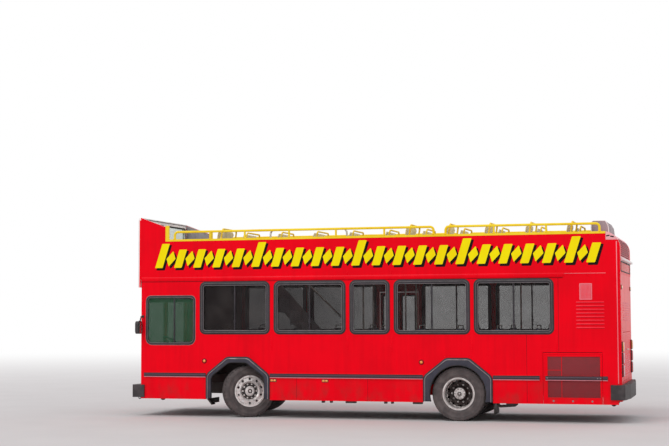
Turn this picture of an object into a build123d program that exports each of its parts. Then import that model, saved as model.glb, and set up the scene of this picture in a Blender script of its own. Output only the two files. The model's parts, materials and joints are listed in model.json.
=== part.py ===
"""An open top double deck bus, converted from a transit bus. Millimetres, X forward, Y left, Z up."""
from build123d import *
import os
from math import cos, radians, sin

# Fits, and how far a cutting shape passes the face that it cuts
fit_gap = 0.3
bearing_gap = 0.5
over = 10

# Body shell
body_width = 2440
side_wall = 45
side_front_x = 4720
side_rear_x = -4620
end_wall = 60
corner_radius = 55
skirt_z = 345
waist_z = 1200
rear_skirt_z = 400

# Floors and decks
floor_z = 880
floor_thickness = 44
deck_z = 2780
deck_thickness = 80

# Axles and wheels
kingpin_x = 2680
kingpin_y = 740
kingpin_radius = 22
parked_steer = 33
rear_axle_x = -1680
tyre_radius = 505
tyre_width = 280
tyre_shoulder = 32
tread_inset = 46
shoulder_inset = 8
sidewall_band = 95
bead_radius = 290
bead_inset = 22
bead_flare = 19
bead_round = 62
rim_wall = 12
rim_flange = 15
rim_lip = 22
rim_well = 14
front_tyre_y = 1020
rear_outer_tyre_y = 1040
twin_spacing = 330
hub_radius = 105
cap_radius = 60
hub_depth = 138
hub_taper = 12
cap_height = 20
cap_wall = 18
disc_setback = 7
disc_foot = 55
disc_shoulder = 95
disc_crown = 30
disc_edge = 22
disc_corner = 5
drum_reach = 130
drum_gap = 22
drum_wall = 20
rear_disc_setback = 20
rear_hub_reach = 60
rear_hub_foot = 45
rear_dish_rise = 30
rear_dish_edge = 10
rear_dish_lip = 15
rear_hub_steps = (40, 23, 13)
disc_thickness = 14
drum_radius = 205
spindle_radius = 42
rear_spindle_radius = 46
hand_hole_radius = 24
hand_hole_circle = 236
hand_hole_count = 10

# Front suspension
front_beam_low_z = 380
front_beam_high_z = 470
front_beam_width = 110
beam_end = (80, 25)
kingpin_eye_z = (400, 560)
kingpin_eye_radius = 62
jaw_thickness = 44
knuckle_trim = 5
jaw_gap = 6
steering_arm = 210
steering_arm_inset = 25
steering_arm_z = (350, 374)
tie_rod_radius = 17
tie_rod_drop = 20

# Rear suspension
axle_tube_radius = 85
differential_radius = 190
drive_nose = (330, 20)
axle_end_gap = 2
bellows_radius = 105
bellows_spread = 440
trailing_beam = (1120, 90, 80)

# Chassis
rail_y = 380
rail_width = 76
rail_low_z = 640
rail_high_z = 800
rail_front_x = 4640
rail_rear_x = -4520
beam_width = 70
beam_short_reach = 560
tow_eye_bore = 36
tow_eye_radius = 50
tow_eye_thickness = 40
tow_eye_z = 315
tow_eye_inset = 60

# Wheel boxes inside the saloon
wheel_box_top_z = 1150
wheel_box_wall = 25
front_box_inner_y = 445
rear_box_inner_y = 520
front_box_reach = 695
rear_box_reach = 590

# Wheel arches
arch_half = 660
arch_flat_half = 245
arch_slope_height = 350
arch_trim_band = 105
arch_trim_proud = 26
arch_trim_low_z = 360
rear_arch_radius = 560
front_arch_shift = -15
rear_arch_shift = 3

# Rub rail along both sides
rub_low_z = 775
rub_height = 82
rub_proud = 22

# Windows
window_low_z = 1613
window_head = 64
window_corner = 112
window_frame = 78
frame_proud = 6
glass_thickness = 10
sash_width = 26
driver_window = (4632, 3537)
driver_window_rise = 188
driver_window_head = 296
driver_window_cut = 95
driver_frame = 42

# Doorways on the right side
front_door_x = (3440, 4500)
rear_door_x = (-400, 420)
door_head = 250
sill_height = 35
sill_gap = 12
first_riser = 240
front_well_y = 640
rear_well_y = 680
leaf_thickness = 32
leaf_gap = 5
rub_gap = 2
rub_end_margin = 68
rub_door_margin = 66
leaf_rail = 62
leaf_foot = 90
leaf_head = 70
leaf_middle_z = 1240
leaf_middle = 80
leaf_pane = 8
pin_radius = 12

# Front end
board_depth = 52
board_rise = 1150
board_drop = 160
board_corner = 60
fin_length = 529
fin_drop = 195
screen_sill = 500
screen_margin = 90
screen_post = 84
screen_corner = 70
windscreen_rise = 130
windscreen_head = 280
windscreen_side = 150
windscreen_post = 60
windscreen_corner = 90

# Upper side panels and rear end
panel_rise = 665
corner_notch = 120
strip_rear_x = -4425
strip_height = 40
strip_proud = 4
bulkhead_x = -4200
rear_dome_radius = 300
rear_dome_wall = 50
hood_front_x = -4215
hood_rear_x = -4440
hood_rise = 235
hood_half = 620
hood_wall = 40
hood_slope = (66, 15, 90)

# Engine bay and its lid
bay_front_x = -3400
bay_wall = 40
bay_sill_z = 1600
bay_top_z = 1680
engine_size = (1080, 840)
engine_top_z = 1540
engine_gap = 60
lid_z = (760, 1640)
lid_half = 820
lid_thickness = 40

# Radiator door on the left side
radiator_door_x = (-4335, -3266)
radiator_door_rise = 80
mesh_x = (-4298, -3345)
mesh_rise = 117
mesh_head = 71
mesh_bar = 10
mesh_bar_depth = 12
mesh_rows = 9
cooler_gap = 40
cooler_inner_y = 700

# Rails of the open deck
rail_tube = 23
rail_rise = 145
rail_bend = 70
rail_stand = 19.5
fin_post_x = (4124, 4190)
fin_post_rise = 25

# Upper seats
upper_seat_first_x = 3150
upper_seat_pitch = 760
upper_seat_count = 10
seat_width = 860
seat_depth = 400
seat_height = 430
seat_side_gap = 25
pan_thickness = 40
upper_back_height = 470
upper_back_drop = 60
upper_back_thickness = 30
back_rake = 9
hoop_tube = 17
hoop_offset = 56
hoop_inset = 30
hoop_bend = 60
leg_tube = 14
leg_inset = 60

# Lower seats
lower_seat_z = 1200
lower_seat_width = 600
lower_seat_side_gap = 30
cushion_thickness = 90
lower_back_height = 520
lower_back_thickness = 80
base_thickness = 30
pedestal = (90, 200, 260)

# Driver's place
driver_y = 620
driver_seat_x = 3640
driver_seat_size = (420, 480, 110)
driver_seat_height = 420
driver_back_size = (110, 460, 710)
driver_back_lap = 60
driver_back_rake = 10
driver_stand_size = (260, 260)
desk_edge_y = 60
desk_top_z = 1310
desk_depth = 280
desk_nose = 90
desk_lip_z = (1240, 1120, 1060)
wheel_ring = 225
wheel_ring_tube = 15
wheel_hub = 50
wheel_spoke = (30, 12)
wheel_x = 4270
wheel_z = 1430
wheel_rake = 33.4
column_radius = 26
column_length = 330

# Stairs, on the left side, up towards the front
stair_foot_x = 650
stair_run = 236
stair_steps = 8
stair_inner_y = 520
stair_wall_gap = 10
stair_plate = 36
riser_plate = 20
stairwell_rear_x = 700
stairwell_margin = 20

# Poles, handrails and the dark panels
pole_radius = 17
handrail_radius = 18
handrail_height = 860
handrail_start = 90
handrail_run = 940
handrail_drop = 140
guard_height = 900
guard_radius = 19
guard_bend = 80
guard_gap = 50
panel_x = (2620, 3400)
panel_thickness = 30
cab_wall_thickness = 40
cab_wall_inner_y = 300

# Bumpers
front_bumper_depth = 175
rear_bumper_depth = 115
front_bumper_z = (370, 615)
rear_bumper_z = (430, 700)
front_bumper_wrap = 98
rear_bumper_wrap = 200
bumper_proud = 28
front_bumper_chamfer = (30, 60)
rear_bumper_chamfer = (55, 620)

# Mirrors and lamps
mirror_size = (70, 190, 250)
mirror_corner = 60
mirror_z = 1745
mirror_arm = 110
mirror_arm_z = 1960
mirror_arm_radius = 12
mirror_arm_lean = 35
mirror_arm_grip = 30
headlamp_z = 860
headlamp_radius = 78
headlamp_proud = 22
headlamp_y = (930, 760)
turn_lamp_y = (1040, 1120)
turn_lamp_height = 140
turn_lamp_proud = 18
marker_proud = 18
side_turn_length = 120
side_turn_proud = 14
side_turn_drop = (75, 30)
rear_lamp_y = (1000, 1130)
rear_lamp_proud = 16
high_lamp_y = (950, 1100)
high_lamp_drop = (210, 160)
high_lamp_proud = 14
marker_radius = 35
marker_z = 1090

# Fuel tank and exhaust
tank_x = (200, 1400)
tank_y = (520, 1080)
tank_z = (430, 760)
tank_corner = 80
strap_width = 60
silencer_x = (-2500, -3250)
silencer_y = 640
silencer_z = 520
silencer_radius = 130
tail_pipe_radius = 45
tail_pipe_length = 140
tail_pipe_shift = (60, 70, 30)
hanger_width = 50

# Sizes and places that follow from those above
half = body_width / 2
inner = half - side_wall
rear_face_x = side_rear_x - end_wall
crease_z = deck_z - deck_thickness
panel_top_z = deck_z + panel_rise
strip_top_z = panel_top_z + strip_height
deck_rail_z = strip_top_z + rail_rise
board_top_z = deck_z + board_rise
board_low_z = crease_z - board_drop
fin_rear_x = side_front_x - fin_length
fin_rear_z = board_top_z - fin_drop
screen_z = (board_low_z + screen_sill, board_top_z - screen_margin)
windscreen_z = (waist_z + windscreen_rise, crease_z - windscreen_head)
window_high_z = crease_z - window_head
arch_top_z = waist_z + front_arch_shift
arch_shoulder_z = arch_top_z - arch_slope_height
step_top = skirt_z + sill_height
middle_step_z = step_top + first_riser
door_top_z = crease_z - door_head
door_low_z = step_top + sill_gap
floor_under_z = floor_z - floor_thickness
frame_half = inner - frame_proud - fit_gap
rise = (deck_z - floor_z) / stair_steps
stair_head_x = stair_foot_x + (stair_steps - 1) * stair_run
stairwell_x = (stairwell_rear_x, stair_head_x)
radiator_door_top_z = waist_z + radiator_door_rise
mesh_z = (skirt_z + mesh_rise, radiator_door_top_z - mesh_head)
front_arch_x = kingpin_x + front_arch_shift
rear_arch_x = rear_axle_x + rear_arch_shift
rub_front_x = side_front_x - rub_proud - rub_end_margin
rub_rear_x = strip_rear_x - 5

# Window places: front edge, rear edge, has a sash bar
left_windows = [
    (3453, 2010, True),
    (1924, 485, True),
    (402, -383, False),
    (-466, -1918, True),
    (-1997, -3473, True),
]
right_windows = [(3370, 2010, True), left_windows[1], left_windows[3], left_windows[4]]

# Arch places: centre, has a round inner edge
arches = [(front_arch_x, False), (rear_arch_x, True)]

# Step wells: rear edge, front edge, inner Y
step_wells = [(*front_door_x, front_well_y), (*rear_door_x, rear_well_y)]

# Wheel boxes: centre, reach, inner Y
wheel_bays = [
    (kingpin_x, front_box_reach, front_box_inner_y),
    (rear_axle_x, rear_box_reach, rear_box_inner_y),
]

# Cross beams: place, half length
full = inner - 5
between_wheels = front_box_inner_y - 25
cross_beams = [
    (rail_front_x - 50, full), (kingpin_x + 1220, beam_short_reach), (kingpin_x + 740, beam_short_reach),
    (kingpin_x + 320, between_wheels), (kingpin_x - 380, between_wheels), (kingpin_x - 750, full),
    (1200, full), (560, full), (0, beam_short_reach), (-560, full),
    (rear_axle_x + 660, full), (rear_axle_x + 180, between_wheels), (rear_axle_x - 180, between_wheels),
    (rear_axle_x - 660, full), (-2900, full), (-3560, beam_short_reach), (rail_rear_x + 60, beam_short_reach),
]

# Lower seats: X of the backrest's face, side
lower_rows = [
    (-150, 1), (-880, 1), (-1620, 1), (-2360, 1), (-3100, 1),
    (2880, -1), (2120, -1), (1240, -1), (520, -1), (-1620, -1), (-2360, -1), (-3100, -1),
]

# Upright poles: X, Y
poles = [(330, 470), (-520, 470), (-520, -470), (405, -600), (1750, -470), (-2620, 470), (-2620, -470)]

# Deck rails: front end, rear end, stands between
rail_runs = [
    (4000, -1236, (3250, 2530, 1620, 675, -280)),
    (-1466, -4320, (-2380, -3350)),
]

# Side lamps: X of the round markers, X of the turn lamps
side_markers = (3357, -988)
side_turns = (1935, 893)

# Rear lamps: low Z, high Z
rear_lamps = [(1400, 1500), (1240, 1340), (1080, 1180)]


def span(middle, width):
    """A low and a high value about a middle."""
    return (middle - width / 2, middle + width / 2)


def shrink(low_high, gap):
    return (low_high[0] + gap, low_high[1] - gap)


def block(x, y, z):
    """A box from three pairs of values."""
    size = Box(abs(x[1] - x[0]), abs(y[1] - y[0]), abs(z[1] - z[0]))
    return Pos((x[0] + x[1]) / 2, (y[0] + y[1]) / 2, (z[0] + z[1]) / 2) * size


def rod(start, end, radius):
    """A round bar between two points."""
    axis = Vector(*end) - Vector(*start)
    plane = Plane(origin=start, z_dir=axis)
    return extrude(plane * Circle(radius), axis.length)


def side_sheet(face, low_y, high_y):
    """A plate whose face is drawn in X and Z, between two Y values."""
    return extrude(Pos(0, high_y, 0) * (Plane.XZ * face), high_y - low_y)


def side_block(x, z, radius=0):
    """A rectangle in X and Z, drawn for side_sheet."""
    width, height = abs(x[1] - x[0]), z[1] - z[0]
    shape = RectangleRounded(width, height, radius) if radius else Rectangle(width, height)
    return Pos((x[0] + x[1]) / 2, (z[0] + z[1]) / 2) * shape


def outline(points):
    """A closed straight-sided face."""
    return make_face(Polyline(*points, close=True))


def turned_about_y(points):
    """A solid of revolution about the Y axis, from an outline of radius and Y."""
    plane = Plane(origin=(0, 0, 0), x_dir=(0, 0, 1), z_dir=(1, 0, 0))
    return revolve(plane * outline([(radius, -y) for radius, y in points]), Axis.Y, 360)


def pipe(points, bend, radius):
    """A round tube along a path with rounded corners, starting upwards."""
    path = FilletPolyline(*points, radius=bend)
    return sweep(Plane(origin=points[0], z_dir=(0, 0, 1)) * Circle(radius), path=path)


def leaning(shape, x, z, angle):
    """Lean a backrest rearwards about its foot."""
    return Pos(x, 0, z) * Rot(0, -angle, 0) * Pos(-x, 0, -z) * shape


def other_side(shape):
    """The same piece on the right side of the bus."""
    return mirror(shape, Plane.XZ)


def both_sides(shape):
    return [shape, other_side(shape)]


def wheel_turned(shape, side):
    """Turn a piece built straight ahead about its kingpin to the parked steering angle."""
    pin = Pos(kingpin_x, side * kingpin_y, 0)
    return pin * Rot(0, 0, parked_steer) * pin.inverse() * shape


def arch_outline(centre, inset=0):
    """The eight-sided arch, open at the skirt."""
    slant = inset * 0.41
    side = arch_half - inset
    flat = arch_flat_half - slant
    low = skirt_z - 5 * over
    return outline([
        (centre - side, low), (centre - side, arch_shoulder_z - slant),
        (centre - flat, arch_top_z - inset), (centre + flat, arch_top_z - inset),
        (centre + side, arch_shoulder_z - slant), (centre + side, low),
    ])


def window_face(front, rear, inset=0):
    z = shrink((window_low_z, window_high_z), inset)
    return side_block((rear + inset, front - inset), z, window_corner - inset * 0.7)


def driver_face(inset=0):
    """The driver's side window, with cut lower corners."""
    front, rear = driver_window[0] - inset, driver_window[1] + inset
    low, high = shrink((waist_z + driver_window_rise, crease_z - driver_window_head), inset)
    cut = driver_window_cut - inset * 0.4
    return outline([
        (rear + cut, low), (front - cut, low), (front, low + cut), (front, high),
        (rear, high), (rear, low + cut),
    ])


def side_panel(openings, doorways):
    """The window panel of one side, above the waist."""
    face = side_block((side_rear_x, side_front_x - end_wall), (waist_z, crease_z))
    for front, rear, _ in openings:
        face -= window_face(front, rear)
    for rear, front in doorways:
        face -= side_block((rear, front), (waist_z - over, door_top_z))
    if not doorways:
        face -= driver_face()
    return side_sheet(face, inner, half)


def hatch_cut():
    """The opening for the radiator door, which reaches above the waist."""
    x = (radiator_door_x[0] - leaf_gap, radiator_door_x[1] + leaf_gap)
    return block(x, (inner - over, half + over), (skirt_z - over, radiator_door_top_z + leaf_gap))


def skirt(doorways):
    """The panels below the waist, split by the wheel arches."""
    face = side_block((side_rear_x, side_front_x - end_wall), (skirt_z, waist_z))
    for centre, _ in arches:
        face -= arch_outline(centre)
        face -= side_block(span(centre, 2 * arch_flat_half), (arch_top_z - over, waist_z + over))
    for rear, front in doorways:
        face -= side_block((rear, front), (skirt_z - over, waist_z + over))
    return side_sheet(face, inner, half)


def arch_trim(centre, is_round):
    """The flared rubber trim round one arch."""
    around = side_block(span(centre, 3 * arch_half), (arch_trim_low_z, waist_z + over))
    face = arch_outline(centre) & around
    if is_round:
        face -= Pos(rear_axle_x, tyre_radius) * Circle(rear_arch_radius)
        face -= side_block(span(rear_axle_x, 2 * rear_arch_radius), (skirt_z - 5 * over, tyre_radius))
    else:
        face -= arch_outline(centre, arch_trim_band)
    return side_sheet(face, inner, half + arch_trim_proud)


def rub_rail(rear, front):
    z = (rub_low_z, rub_low_z + rub_height)
    return side_sheet(side_block((rear, front), z), half, half + rub_proud)


def rub_rails():
    """The lengths of rub rail between arches, doors and ends, on both sides."""
    reach = arch_half + rub_gap
    front_arch = (front_arch_x - reach, front_arch_x + reach)
    rear_arch = (rear_arch_x - reach, rear_arch_x + reach)
    left = [
        (front_arch[1], rub_front_x), (rear_arch[1], front_arch[0]),
        (radiator_door_x[1] + rub_door_margin, rear_arch[0]), (rub_rear_x, radiator_door_x[0] - leaf_gap),
    ]
    right = [
        (front_door_x[1] + rub_gap, rub_front_x), (rear_arch[1], rear_door_x[0] - rub_gap),
        (rear_door_x[1] + rub_gap, front_arch[0]), (rub_rear_x, rear_arch[0]),
    ]
    return [rub_rail(*run) for run in left] + [other_side(rub_rail(*run)) for run in right]


def window_frame_ring(front, rear, has_sash):
    ring = window_face(front, rear, fit_gap) - window_face(front, rear, window_frame)
    if has_sash:
        reach = shrink((window_low_z, window_high_z), window_frame - over)
        ring += side_block(span((front + rear) / 2, sash_width), reach)
    return side_sheet(ring, inner - frame_proud, half + frame_proud)


def pane(face):
    return side_sheet(face, *span((inner + half) / 2, glass_thickness))


def window_panes(front, rear, has_sash):
    face = window_face(front, rear, window_frame + fit_gap)
    if not has_sash:
        return [pane(face)]
    low, high = span((front + rear) / 2, sash_width + 2 * fit_gap)
    z = (window_low_z, window_high_z)
    return [pane(face & side_block((high, front), z)), pane(face & side_block((rear, low), z))]


def window_frames():
    """The dark frames of the side windows."""
    frames = [window_frame_ring(*row) for row in left_windows]
    frames += [other_side(window_frame_ring(*row)) for row in right_windows]
    ring = driver_face(fit_gap) - driver_face(driver_frame)
    frames.append(side_sheet(ring, inner - frame_proud, half + frame_proud))
    return frames


def halves(edge, post):
    """The Y spans on each side of a middle post."""
    return [(post / 2, edge), (-edge, -post / 2)]


def cross_pane(y, z, middle_x, corner):
    """One upright pane across the front, inside its opening by the fitting gap."""
    sheet = block(span(middle_x, glass_thickness), shrink(y, fit_gap), shrink(z, fit_gap))
    return fillet(sheet.edges().filter_by(Axis.X), corner - fit_gap)


def glazing():
    """Every fixed pane."""
    panes = []
    for row in left_windows:
        panes += window_panes(*row)
    for row in right_windows:
        panes += [other_side(piece) for piece in window_panes(*row)]
    panes.append(pane(driver_face(driver_frame + fit_gap)))
    for y in halves(half - screen_margin, screen_post):
        panes.append(cross_pane(y, screen_z, side_front_x + board_depth / 2, screen_corner))
    for y in halves(half - windscreen_side, windscreen_post):
        panes.append(cross_pane(y, windscreen_z, side_front_x - end_wall / 2, windscreen_corner))
    return panes


def front_mask():
    """The lower front of the body, with the windscreen's two openings."""
    shell = block((side_front_x - end_wall, side_front_x), (-half, half), (skirt_z, crease_z))
    shell = fillet(shell.edges().filter_by(Axis.Z).group_by(Axis.X)[-1], corner_radius)
    x = (side_front_x - end_wall - over, side_front_x + over)
    for y in halves(half - windscreen_side, windscreen_post):
        shell -= fillet(block(x, y, windscreen_z).edges().filter_by(Axis.X), windscreen_corner)
    return shell


def front_board():
    """The pale board round the upper front screen."""
    board = block((side_front_x, side_front_x + board_depth), (-half, half), (board_low_z, board_top_z))
    board = fillet(board.edges().filter_by(Axis.X).group_by(Axis.Z)[-1], board_corner)
    x = (side_front_x - over, side_front_x + board_depth + over)
    for y in halves(half - screen_margin, screen_post):
        board -= fillet(block(x, y, screen_z).edges().filter_by(Axis.X), screen_corner)
    return board


def upper_side():
    """The upper panel of the left side, with its fin at the front and its notch at the rear."""
    notch_z = panel_top_z - corner_notch
    face = outline([
        (side_rear_x, crease_z), (side_front_x, crease_z), (side_front_x, board_top_z),
        (fin_rear_x, fin_rear_z), (fin_rear_x, panel_top_z),
        (strip_rear_x, panel_top_z), (strip_rear_x, notch_z), (side_rear_x, notch_z),
    ])
    return side_sheet(face, inner, half)


def rear_wall():
    """The lower rear of the body with the opening for the engine lid."""
    wall = block((rear_face_x, side_rear_x), (-half, half), (rear_skirt_z, crease_z))
    wall = fillet(wall.edges().filter_by(Axis.Z).group_by(Axis.X)[0], corner_radius)
    opening_y = span(0, 2 * (lid_half + leaf_gap))
    return wall - block((rear_face_x - over, side_rear_x + over), opening_y, shrink(lid_z, -leaf_gap))


def dome_section(inset, low):
    """The upper rear in X and Z: flat top, quarter round and upright back."""
    radius = rear_dome_radius - inset
    front, back = bulkhead_x - inset, rear_face_x + inset
    high = strip_top_z - inset
    corner = RadiusArc((back, high - radius), (back + radius, high), radius)
    rest = Polyline((back + radius, high), (front, high), (front, low), (back, low), (back, high - radius))
    return make_face(Wire([*corner.edges(), *rest.edges()]))


def hood_section(inset):
    """The hood on the upper rear in X and Z, with its slope at the back."""
    top_run, foot_run, drop = hood_slope
    top = strip_top_z + hood_rise - inset
    low = strip_top_z - (rear_dome_wall if inset else 0)
    return outline([
        (hood_front_x - inset, low), (hood_front_x - inset, top), (hood_rear_x + top_run + inset / 4, top),
        (hood_rear_x + foot_run + inset, top - drop), (hood_rear_x + inset, low),
    ])


def rear_cap():
    """The rounded upper rear and the hood that stands on it."""
    cap = side_sheet(dome_section(0, crease_z), -half, half)
    cap -= side_sheet(dome_section(rear_dome_wall, deck_z), -inner, inner)
    cap += side_sheet(hood_section(0), -hood_half, hood_half)
    cap -= side_sheet(hood_section(hood_wall), -hood_half + hood_wall, hood_half - hood_wall)
    low = crease_z - over
    past = bulkhead_x + over
    notch = block((side_rear_x, past), (inner, half + over), (low, panel_top_z - corner_notch))
    strip = block((strip_rear_x, past), (inner - strip_proud, half + over), (low, strip_top_z + over))
    for piece in both_sides(notch) + both_sides(strip):
        cap -= piece
    return cap


def hinged_panel(x, z, y):
    """A top-hinged side door with a half-round edge about its hinge line."""
    thick = leaf_thickness
    middle, hinge_z = y - thick / 2, z[1] - thick / 2
    panel = block(x, (y - thick, y), (z[0], hinge_z))
    panel += rod((x[0], middle, hinge_z), (x[1], middle, hinge_z), thick / 2)
    reach = leaf_gap - fit_gap
    return panel + rod((x[0] - reach, middle, hinge_z), (x[1] + reach, middle, hinge_z), pin_radius)


def radiator_door():
    """The hinged panel over the radiator, its grille of level bars, and its length of rub rail."""
    panel = hinged_panel(radiator_door_x, (skirt_z, radiator_door_top_z), half)
    panel -= block(mesh_x, (half - leaf_thickness - over, half + over), mesh_z)
    pitch = (mesh_z[1] - mesh_z[0]) / mesh_rows
    y = (half - mesh_bar_depth - frame_proud, half - frame_proud)
    for row in range(1, mesh_rows):
        panel += block((mesh_x[0] - over, mesh_x[1] + over), y, span(mesh_z[0] + row * pitch, mesh_bar))
    return panel + rub_rail(radiator_door_x[0] + leaf_gap, radiator_door_x[1] - cooler_gap)


def engine_lid():
    """The top-hinged lid over the engine."""
    thick = lid_thickness
    x, top = rear_face_x + thick / 2, lid_z[1] - thick / 2
    lid = block((rear_face_x, rear_face_x + thick), (-lid_half, lid_half), (lid_z[0], top))
    lid += rod((x, -lid_half, top), (x, lid_half, top), thick / 2)
    reach = lid_half + leaf_gap - fit_gap
    return lid + rod((x, -reach, top), (x, reach, top), pin_radius)


def door_leaf(hinge_x, free_x):
    """One door leaf on the right side, with a half-round edge about its hinge and pins at top and bottom."""
    out = 1 if free_x > hinge_x else -1
    thick = leaf_thickness
    axis_x, axis_y = hinge_x + out * (leaf_gap + thick / 2), -half + thick / 2
    z = (door_low_z, door_top_z - leaf_gap)
    x = sorted([axis_x, free_x - out * leaf_gap / 2])
    leaf = block(x, (-half, -half + thick), z)
    leaf += rod((axis_x, axis_y, z[0]), (axis_x, axis_y, z[1]), thick / 2)
    lights = [
        (z[0] + leaf_foot, leaf_middle_z - leaf_middle / 2),
        (leaf_middle_z + leaf_middle / 2, z[1] - leaf_head),
    ]
    faces = [(-half - over, axis_y - leaf_pane / 2), (axis_y + leaf_pane / 2, -half + thick + over)]
    for light in lights:
        for y in faces:
            leaf -= block(shrink(x, leaf_rail), y, light)
    pin_z = (step_top + fit_gap, door_top_z - fit_gap)
    return leaf + rod((axis_x, axis_y, pin_z[0]), (axis_x, axis_y, pin_z[1]), pin_radius)


def bumper(face_x, depth, wrap, chamfer, z):
    """A bumper with chamfered corners that wraps round to the sides."""
    out = 1 if face_x > 0 else -1
    edge = half + bumper_proud
    back, reach = face_x - out * wrap, face_x + out * depth
    along, across = chamfer
    points = [
        (back, edge), (reach - out * along, edge), (reach, edge - across), (reach, -edge + across),
        (reach - out * along, -edge), (back, -edge),
        (back, -half), (face_x, -half), (face_x, half), (back, half),
    ]
    return extrude(Pos(0, 0, z[0]) * outline(points), z[1] - z[0])


def chassis_rails():
    """Two box rails with a towing eye hung under each end."""
    rails = []
    for y in (rail_y, -rail_y):
        rail = block((rail_rear_x, rail_front_x), span(y, rail_width), (rail_low_z, rail_high_z))
        eye_y = span(y, tow_eye_thickness)
        for x in (rail_front_x - tow_eye_inset, rail_rear_x + tow_eye_inset):
            lug = block(span(x, 2 * tow_eye_radius), eye_y, (tow_eye_z, rail_low_z))
            lug += rod((x, eye_y[0], tow_eye_z), (x, eye_y[1], tow_eye_z), tow_eye_radius)
            bore = rod((x, eye_y[0] - over, tow_eye_z), (x, eye_y[1] + over, tow_eye_z), tow_eye_bore / 2)
            rail += lug - bore
        rails.append(rail)
    return rails


def cross_members():
    """Beams across the rails that carry the lower floor."""
    z = (rail_high_z, floor_under_z)
    return [block(span(x, beam_width), (-reach, reach), z) for x, reach in cross_beams]


def knuckle():
    """The left steering knuckle, straight ahead, with kingpin, spindle and steering arm."""
    low, high = kingpin_eye_z
    x, y = kingpin_x, kingpin_y
    jaw_low, jaw_high = low - jaw_gap - jaw_thickness, high + jaw_gap + jaw_thickness
    plate_y = (y + kingpin_eye_radius + over, y + kingpin_eye_radius + jaw_thickness)
    body = block(span(x, 2 * kingpin_eye_radius - knuckle_trim), plate_y, (jaw_low, jaw_high))
    body += rod((x, y, jaw_low - knuckle_trim), (x, y, jaw_high + knuckle_trim), kingpin_radius)
    for z in ((jaw_low, low - jaw_gap), (high + jaw_gap, jaw_high)):
        body += block(span(x, 2 * jaw_thickness), (y - jaw_thickness, plate_y[0] + over), z)
    spindle_end = (x, front_tyre_y + hub_radius - knuckle_trim, tyre_radius)
    body += rod((x, plate_y[0] + over, tyre_radius), spindle_end, spindle_radius)
    body += block((x - steering_arm, x), (y - jaw_thickness, y - knuckle_trim), steering_arm_z)
    end = (x - steering_arm, y - steering_arm_inset)
    return body + rod((*end, steering_arm_z[0]), (*end, steering_arm_z[1]), 2 * tie_rod_radius)


def tie_rod_end(side):
    """Where the tie rod meets one steering arm at the parked angle."""
    turn = radians(parked_steer)
    x, y = -steering_arm, -side * steering_arm_inset
    return (
        kingpin_x + x * cos(turn) - y * sin(turn),
        side * kingpin_y + x * sin(turn) + y * cos(turn),
        steering_arm_z[0] - tie_rod_drop,
    )


def tie_rod():
    """The bar under the two steering arms, its ends with a running gap below the arms."""
    bar = rod(tie_rod_end(1), tie_rod_end(-1), tie_rod_radius)
    for x, y, z in (tie_rod_end(1), tie_rod_end(-1)):
        bar += rod((x, y, z - tie_rod_drop), (x, y, z + tie_rod_drop - fit_gap), tie_rod_radius + over)
    return bar


def front_axle():
    """A dropped beam with an eye for each kingpin."""
    low, high = kingpin_eye_z
    middle = (low + high) / 2
    foot_y = kingpin_y - kingpin_eye_radius - over
    width, reach = beam_end
    beam = block(span(kingpin_x, front_beam_width), (-foot_y, foot_y), (front_beam_low_z, front_beam_high_z))
    for side in (1, -1):
        place = Pos(kingpin_x, side * kingpin_y, middle)
        beam += place * Cylinder(kingpin_eye_radius, high - low)
        beam += block(span(kingpin_x, width), (side * (foot_y - reach), side * (foot_y + reach)), kingpin_eye_z)
        beam -= place * Cylinder(kingpin_radius + bearing_gap, high - low + over)
    return beam


def rear_axle():
    """The housing, its differential and the two spindles."""
    def across(reach, radius):
        return rod((rear_axle_x, -reach, tyre_radius), (rear_axle_x, reach, tyre_radius), radius)

    inner_tyre_y = rear_outer_tyre_y - twin_spacing
    tube = across(inner_tyre_y - rear_hub_reach - axle_end_gap, axle_tube_radius)
    spindle = across(rear_outer_tyre_y - over, rear_spindle_radius)
    case = Pos(rear_axle_x, 0, tyre_radius) * Sphere(differential_radius)
    length, rise = drive_nose
    nose_end = (rear_axle_x - length, 0, tyre_radius + rise)
    nose = rod((rear_axle_x, 0, tyre_radius), nose_end, axle_tube_radius - over)
    return tube + spindle + case + nose


def air_springs():
    """The bellows over both axles and the trailing beams of the rear pair."""
    length, width, depth = trailing_beam
    top = tyre_radius - axle_tube_radius
    pieces = []
    for y in (rail_y, -rail_y):
        pieces.append(rod((kingpin_x, y, front_beam_high_z), (kingpin_x, y, rail_low_z), bellows_radius))
        beam = block(span(rear_axle_x, length), span(y, width), (top - depth, top))
        for x in (rear_axle_x - bellows_spread, rear_axle_x + bellows_spread):
            beam += rod((x, y, top), (x, y, rail_low_z), bellows_radius)
        pieces.append(beam)
    return pieces


def floor_boards():
    """The saloon floor in lengths, narrower between the wheels and beside the step wells."""
    narrow = [(centre - reach, centre + reach, inner_y, inner_y) for centre, reach, inner_y in wheel_bays]
    narrow += [(rear, front, inner, well_y) for rear, front, well_y in step_wells]
    ends = {bay_front_x, side_front_x - end_wall}
    for rear, front, left, right in narrow:
        ends |= {rear, front}
    boards = []
    edges = sorted(ends)
    for low, high in zip(edges, edges[1:]):
        left_y, right_y = inner, inner
        for rear, front, left, right in narrow:
            if rear <= low < front:
                left_y, right_y = min(left_y, left), min(right_y, right)
        boards.append(block((low, high), (-right_y, left_y), (floor_under_z, floor_z)))
    return boards


def lower_floor():
    """The saloon floor, and the bulkhead and shelf over the engine."""
    bulkhead_x = (bay_front_x - bay_wall, bay_front_x)
    shelf_under_z = bay_top_z - bay_wall
    return floor_boards() + [
        block(bulkhead_x, (-inner, inner), (floor_under_z, bay_sill_z)),
        block(bulkhead_x, (-frame_half, frame_half), (bay_sill_z, shelf_under_z)),
        block((side_rear_x, bay_front_x), (-frame_half, frame_half), (shelf_under_z, bay_top_z)),
    ]


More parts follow.
